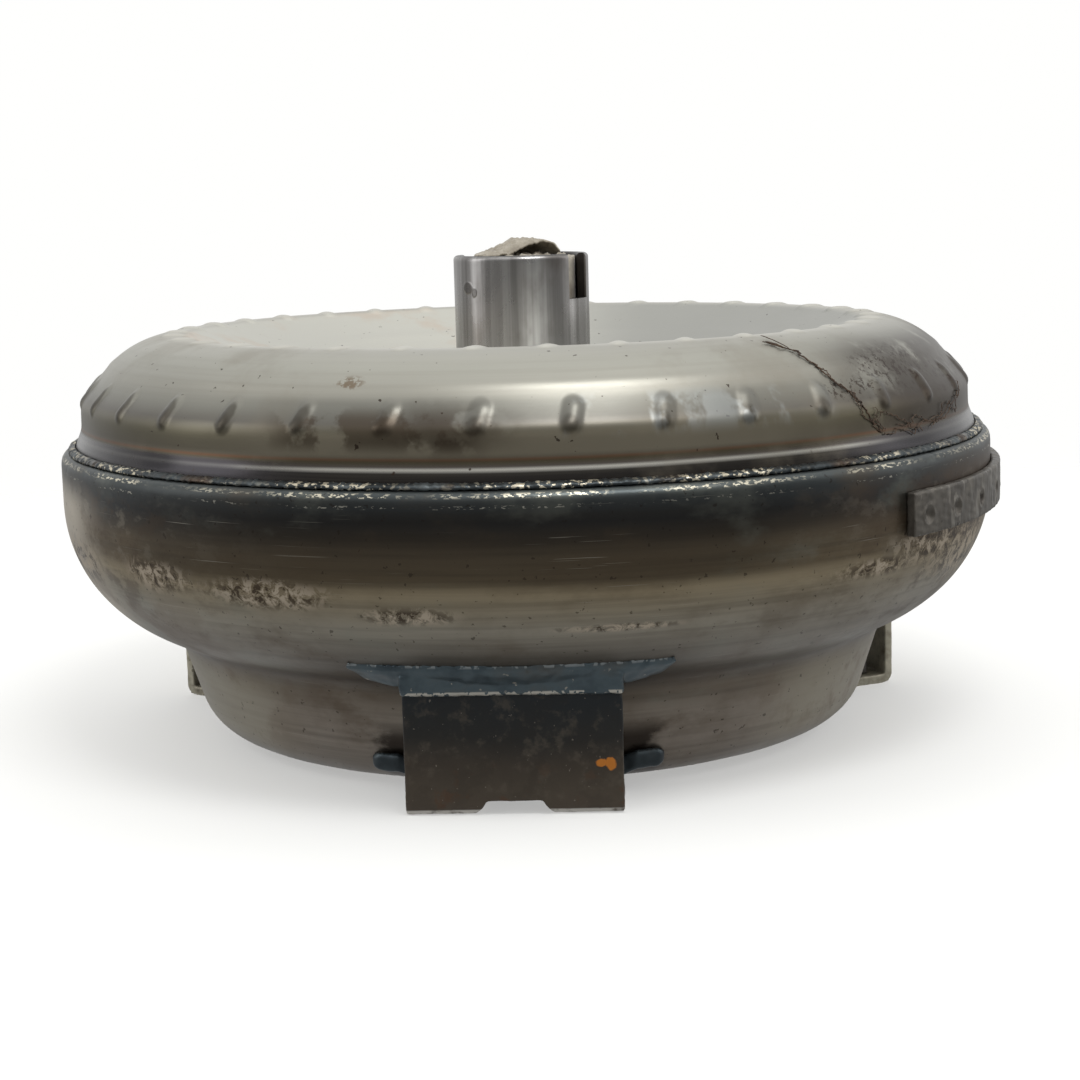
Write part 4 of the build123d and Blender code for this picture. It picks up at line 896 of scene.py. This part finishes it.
def wipe():
    """Crumpled wipe stuffed in the hub's bore: a wad under a folded flap that gapes at its right end."""
    low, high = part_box("bore_rag")
    reach = (high.x - low.x) / 2 - 0.4 * MM
    rim = HUB_TOP
    draw = grain_field(21, 18, 7 * MM)
    fine = grain_field(22, 14, 2.5 * MM)
    mesh = bmesh.new()

    def grid(rows, columns, place, index, flip=False):
        """A sheet of faces through place(u, v), with u and v from 0 to 1."""
        verts = []
        for i in range(rows):
            verts.append([mesh.verts.new(place(i / (rows - 1), j / (columns - 1))) for j in range(columns)])
        for i in range(rows - 1):
            for j in range(columns - 1):
                corners = (verts[i][j], verts[i + 1][j], verts[i + 1][j + 1], verts[i][j + 1])
                face = mesh.faces.new(corners[::-1] if flip else corners)
                face.material_index = index
        return verts

    def wad(u, v):
        """Domed wad: u from the middle out and down the bore, v round it."""
        out = min(u / 0.72, 1.0) * (reach - 0.4 * MM)
        down = max(u - 0.72, 0) / 0.28
        turn = v * TAU
        point = np.array([[out * math.sin(turn), -out * math.cos(turn), rim]])
        crumple = draw(point)[0] * 0.9 * MM + fine(point)[0] * 0.25 * MM
        height = rim - 1.6 * MM + crumple * (1 - down) + 1.2 * MM * (1 - (out / reach) ** 2)
        return Vector((point[0, 0], point[0, 1], height * (1 - down) + (low.z + 0.5 * MM) * down))

    rings = grid(40, 72, wad, 0)
    mesh.faces.new(rings[-1][:-1])

    # the flap's ridge and front edge as (across, height above the rim) in mm
    left, right = -15.0, 13.0
    ridge = [(left, 0.3), (-8.0, 2.4), (-2.8, 5.3), (0.2, 5.1), (7.8, 4.5), (11.5, 3.0), (right, 0.9)]
    front = [(left, 0.1), (-9.0, 0.2), (-3.2, 0.3), (-1.0, 1.7), (2.0, 2.9), (5.0, 3.8), (8.2, 4.1),
             (11.0, 3.4), (right, 0.8)]

    def flap(u, v, thick):
        """Folded flap: u from its left end to its right, v from its back edge over the ridge to its front."""
        x = left + (right - left) * u
        top = np.interp(x, *zip(*ridge))
        edge = np.interp(x, *zip(*front))
        half = math.sqrt(max(1 - ((x + 1) / 16.5) ** 2, 0.02))
        if v < 0.5:
            share = 1 - v / 0.5
            y = 1.0 + 8.0 * half * share
            z = top - (top + 0.6) * share ** 1.6
        else:
            share = (v - 0.5) / 0.5
            y = 1.0 - 9.5 * half * share * (1 if x < -3 else max(0.12, 1 - (x + 3) / 11))
            z = top + (edge - top) * share ** 1.3
        point = np.array([[x * MM, y * MM, z * MM]])
        crease = fine(point * 0.8)[0] * 0.22 + draw(point * 1.2)[0] * 0.25
        z += crease * min(1.0, (13.5 - abs(x + 1)) / 6 + 0.3) - thick
        return Vector((x * MM, y * MM, rim + max(z, -2.0) * MM))

    outer = grid(64, 40, lambda u, v: flap(u, v, 0.0), 0, True)
    inner = grid(64, 40, lambda u, v: flap(u, v, 0.55), 1)
    for near, far in zip((outer[0], outer[-1]), (inner[0], inner[-1])):
        for a, b, c, d in zip(near, near[1:], far[1:], far):
            mesh.faces.new((a, b, c, d))
    for side in (0, -1):
        for i in range(len(outer) - 1):
            mesh.faces.new((outer[i][side], outer[i + 1][side], inner[i + 1][side], inner[i][side]))
    bmesh.ops.remove_doubles(mesh, verts=mesh.verts, dist=1e-6)
    bmesh.ops.recalc_face_normals(mesh, faces=mesh.faces)
    data = bpy.data.meshes.new("crumpled_wipe")
    mesh.to_mesh(data)
    mesh.free()
    light = wipe_paint("wipe_outside", "a9a294", "8f8778", "5f5446")
    # the flap's underside is dark reddish-brown, partly painted shade in the gap under the fold
    dark = wipe_paint("wipe_inside", "5c4642", "453230", "261a18")
    piece = added("crumpled_wipe", data, "rag", "rag", light, dark)
    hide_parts("bore_rag")


# ---------------------------------------------------------------- build

def outside():
    """Every piece that shows from outside."""
    cover = cover_paint()
    steel = impeller_paint()
    weld = weld_paint()
    # the back brackets get a copy of the bracket paint painted lighter, as painted light
    brackets = (bracket_paint(), rear_bracket_lightened_paint())
    turned_piece("front_cover", "cover_skin", 1.0 * MM, 900, "cover_steel", cover, cover_relief)
    shell = turned_piece("impeller_shell", "impeller_skin", 0.75 * MM, 1260, "impeller_steel", steel,
                         impeller_relief)
    fibres(*shell)
    turned_piece("seam_weld", "seam_bead", 0.3 * MM, 1440, "weld_metal", seam_paint(), seam_relief)
    turned_piece("hub_weld", "hub_bead", 0.4 * MM, 720, "weld_metal", weld, hub_weld_relief)
    scale = grain_field(31, 16, 9 * MM)
    tiny = grain_field(32, 20, 2.2 * MM)
    for i in (1, 2, 3):
        refined(f"mounting_bracket_{i}", f"bracket_{i}_plate", 0.55 * MM, 3, "bracket_steel", brackets[i > 1],
                lambda points: scale(points) * 0.04 * MM + tiny(points) * 0.015 * MM)
    refined("upper_bracket_welds", "upper_beads", 0.45 * MM, 14, "weld_metal", weld, bead_relief, shape_wings)
    refined("lower_bracket_welds", "lower_beads", 0.45 * MM, 22, "weld_metal", weld, bead_relief,
            shape_low_ends)
    refined("weld_nuts", "nuts", 0.35 * MM, 2, "machined_steel",
            plain_metal("nut_steel", "4c4a47", "77746f", 0.35, 160))
    refined("balance_weight", "weight_strip", 0.45 * MM, 3, "weight_steel", weight_paint(), weight_relief)
    hub()
    show("crank_pilot", turned_metal("pilot_steel", "8a8884", "a9a7a3", 0.25))


def turn_of(points):
    """Angles of points about the axis, from -Y towards +X."""
    return np.arctan2(points[:, 0], -points[:, 1])


def bead_relief(points):
    """Ripples across a bead, with soft lumps, on a bead a little fuller than the CAD one."""
    turn = turn_of(points)
    ripple = np.cos(turn * 190 + points[:, 2] / (2.2 * MM)) * 0.05 * MM
    return ripple * 0.4 + grain_field(41, 18, 8 * MM)(points) * 0.12 * MM + 0.45 * MM


def from_bracket(points):
    """Number of the nearest bracket and the signed angle from its middle, in degrees."""
    turn = np.degrees(turn_of(points))
    nearest = np.round(turn / 120)
    return nearest, turn - 120 * nearest


def rounded_end(away, end, length):
    """Share of the full thickness near a bead's end, falling like a quarter circle to the end."""
    left = np.clip((end - away) / length, 0, 1)
    return np.sqrt(1 - (1 - left) ** 2)


def shape_wings(points):
    """Turns the upper beads' ends into blades that thin out and end round."""
    away = np.abs(from_bracket(points)[1])
    end = away.max()
    top = points[:, 2].max()
    share = np.clip((away - PLATE_HALF_ANGLE) / (end - PLATE_HALF_ANGLE), 0, 1)
    points[:, 2] = top - (top - points[:, 2]) * (1 - 0.28 * share)
    middle = top - 2.8 * MM
    full = np.where(share > 0, 0.35 + 0.65 * rounded_end(away, end, 1.6), 1)
    points[:, 2] = middle + (points[:, 2] - middle) * full
    # the thin upper toe dips into the bowl
    dip = np.clip((points[:, 2] - top + 2.0 * MM) / (2.0 * MM), 0, 1) * 1.1 * MM
    points[:, :2] *= (1 - dip / np.hypot(points[:, 0], points[:, 1]))[:, None]


def shape_low_ends(points):
    """Turns the lower beads' ends into rounded lumps against the drum."""
    nearest, signed = from_bracket(points)
    away = np.abs(signed)
    radius = np.hypot(points[:, 0], points[:, 1])
    end = away.max()
    share = np.clip((away - PLATE_HALF_ANGLE + 1.5) / 3, 0, 1)
    full = 0.25 + 0.75 * rounded_end(away, end, 2.0)
    middle = (points[:, 2].min() + points[:, 2].max()) / 2
    radius = radius + 3.1 * MM * share * full
    height = middle + (points[:, 2] - middle) * (1 - share + 0.8 * share * full) + 4.2 * MM * share
    turn = np.radians(120 * nearest + np.sign(signed) * (away + 1.8 * share))
    points[:, 0], points[:, 1], points[:, 2] = radius * np.sin(turn), -radius * np.cos(turn), height


SPOT_WELDS = (51.3, 57.8, 65.5, 74.0, 83.0, 92.0)


def weight_relief(points):
    """Dimples of the spot welds, and small scuffs."""
    turn = np.degrees(turn_of(points))
    radius = np.hypot(points[:, 0], points[:, 1])
    middle = (WEIGHT_BOX[0].z + WEIGHT_BOX[1].z) / 2 - 0.9 * MM
    outer = radius > radius.max() - 1.2 * MM
    lift = grain_field(51, 16, 5 * MM)(points) * 0.06 * MM
    for degrees in SPOT_WELDS:
        far = np.hypot(np.radians(turn - degrees) * radius, points[:, 2] - middle)
        lift = lift - np.where(outer, np.clip(1 - (far / (3.0 * MM)) ** 2, 0, 1) ** 2 * 0.9 * MM, 0)
        lift = lift + np.where(outer, np.exp(-((far - 2.8 * MM) / (0.6 * MM)) ** 2) * 0.18 * MM, 0)
    return lift


def show(node, material):
    """Gives a CAD node that stays its material."""
    data = frame["nodes"][node].data
    data.materials.clear()
    data.materials.append(material)


def inside():
    """Materials of the pieces within the shells."""
    sheet = plain_metal("blade_steel", "8c8c8a", "a6a6a4", 0.32, 60)
    turned = turned_metal("machined_steel", "949391", "b2b1af", 0.24)
    spring = plain_metal("spring_steel", "3a4048", "555b64", 0.3, 120, 0.9)
    cast = plain_metal("cast_aluminium", "b0b0ae", "c8c8c6", 0.4, 140, relief=0.12)
    polished = turned_metal("bearing_steel", "b4b4b6", "cdcdcf", 0.12)
    paints = {"blade_steel": sheet, "machined_steel": turned, "spring_steel": spring, "cast_aluminium": cast,
              "bearing_steel": polished, "friction_paper": friction_paint(), "seal_plastic": plastic_paint()}
    slots = {part["node"]: part["material_slot"] for part in frame["record"]["subparts"]}
    for node, obj in frame["nodes"].items():
        if not obj.hide_render and slots[node] in paints and node != "crank_pilot":
            show(node, paints[slots[node]])


# ---------------------------------------------------------------- stage, light and camera

def stage():
    """Pale floor that fades out into the white surround; the steel does not mirror it."""
    floor = bpy.data.meshes.new("floor")
    half = 1.2
    corners = [(-half, -half, 0), (half, -half, 0), (half, half, 0), (-half, half, 0)]
    floor.from_pydata(corners, [], [(0, 1, 2, 3)])
    obj = bpy.data.objects.new("floor", floor)
    bpy.context.scene.collection.objects.link(obj)
    obj.visible_glossy = False
    p = Paint("pale_floor", 0.0)
    p.put(p.shader.inputs["Alpha"], p.step(p.radius(), 0.95, 0.36, 0.0, 0.6))
    p.colour = tone("f6f6f4")
    floor.materials.append(p.finish(0.8))


def surround():
    """Studio surround: white to the camera; to the object bright above and behind, dim in front and below."""
    world = bpy.data.worlds.new("surround")
    bpy.context.scene.world = world
    world.use_nodes = True
    g = Graph(world.node_tree)
    apart = g.add("ShaderNodeSeparateXYZ")
    g.put(apart.inputs[0], g.add("ShaderNodeTexCoord").outputs["Generated"])
    back, up = apart.outputs["Y"], apart.outputs["Z"]
    above = g.step(up, 0.0, 0.95, 0.0, 0.95)
    behind = g.times(g.step(back, -0.35, 0.65, 0.0, 0.60), g.step(up, -0.25, 0.1, 0.15, 1.0))
    below = g.step(up, -0.75, 0.05, 0.42, 0.24)
    room = g.plus(g.math("MAXIMUM", above, behind), below)
    seen = g.add("ShaderNodeLightPath").outputs["Is Camera Ray"]
    background = g.add("ShaderNodeBackground")
    background.inputs["Color"].default_value = (1.0, 1.0, 0.99, 1.0)
    g.put(background.inputs["Strength"], g.math("MAXIMUM", seen, room))
    output = g.add("ShaderNodeOutputWorld")
    g.put(output.inputs["Surface"], background.outputs[0])


def softbox(name, place, target, size, power):
    """Rectangular soft light that faces a point."""
    light = bpy.data.lights.new(name, "AREA")
    light.shape = "RECTANGLE"
    light.size, light.size_y = size
    light.energy = power
    obj = bpy.data.objects.new(name, light)
    obj.location = place
    obj.rotation_euler = (Vector(target) - Vector(place)).to_track_quat("-Z", "Y").to_euler()
    bpy.context.scene.collection.objects.link(obj)


def camera():
    """Camera at the photograph's place: a little above the object, turned slightly about it."""
    data = bpy.data.cameras.new("camera")
    data.lens = CAMERA_LENS
    data.sensor_width = 36.0
    data.clip_start = 0.01
    data.shift_x, data.shift_y = CAMERA_SHIFT
    obj = bpy.data.objects.new("camera", data)
    turn, down, roll = (math.radians(a) for a in CAMERA_TURN)
    obj.matrix_world = (Matrix.Translation(CAMERA_PLACE) @ Matrix.Rotation(turn, 4, "Z")
                        @ Matrix.Rotation(math.pi / 2 - down, 4, "X") @ Matrix.Rotation(roll, 4, "Z"))
    bpy.context.scene.collection.objects.link(obj)
    bpy.context.scene.camera = obj


outside()
inside()
wipe()
stage()
surround()
softbox("overhead", (0.25, -0.55, 1.05), (0, 0, 0.1), (0.5, 0.35), 5)
softbox("left_fill", (-1.2, -0.2, 0.5), (0, 0, 0.08), (0.5, 0.9), 3)
softbox("right_fill", (1.2, 0.1, 0.5), (0, 0, 0.08), (0.5, 0.9), 2)
camera()
bpy.context.scene.view_settings.view_transform = "Standard"
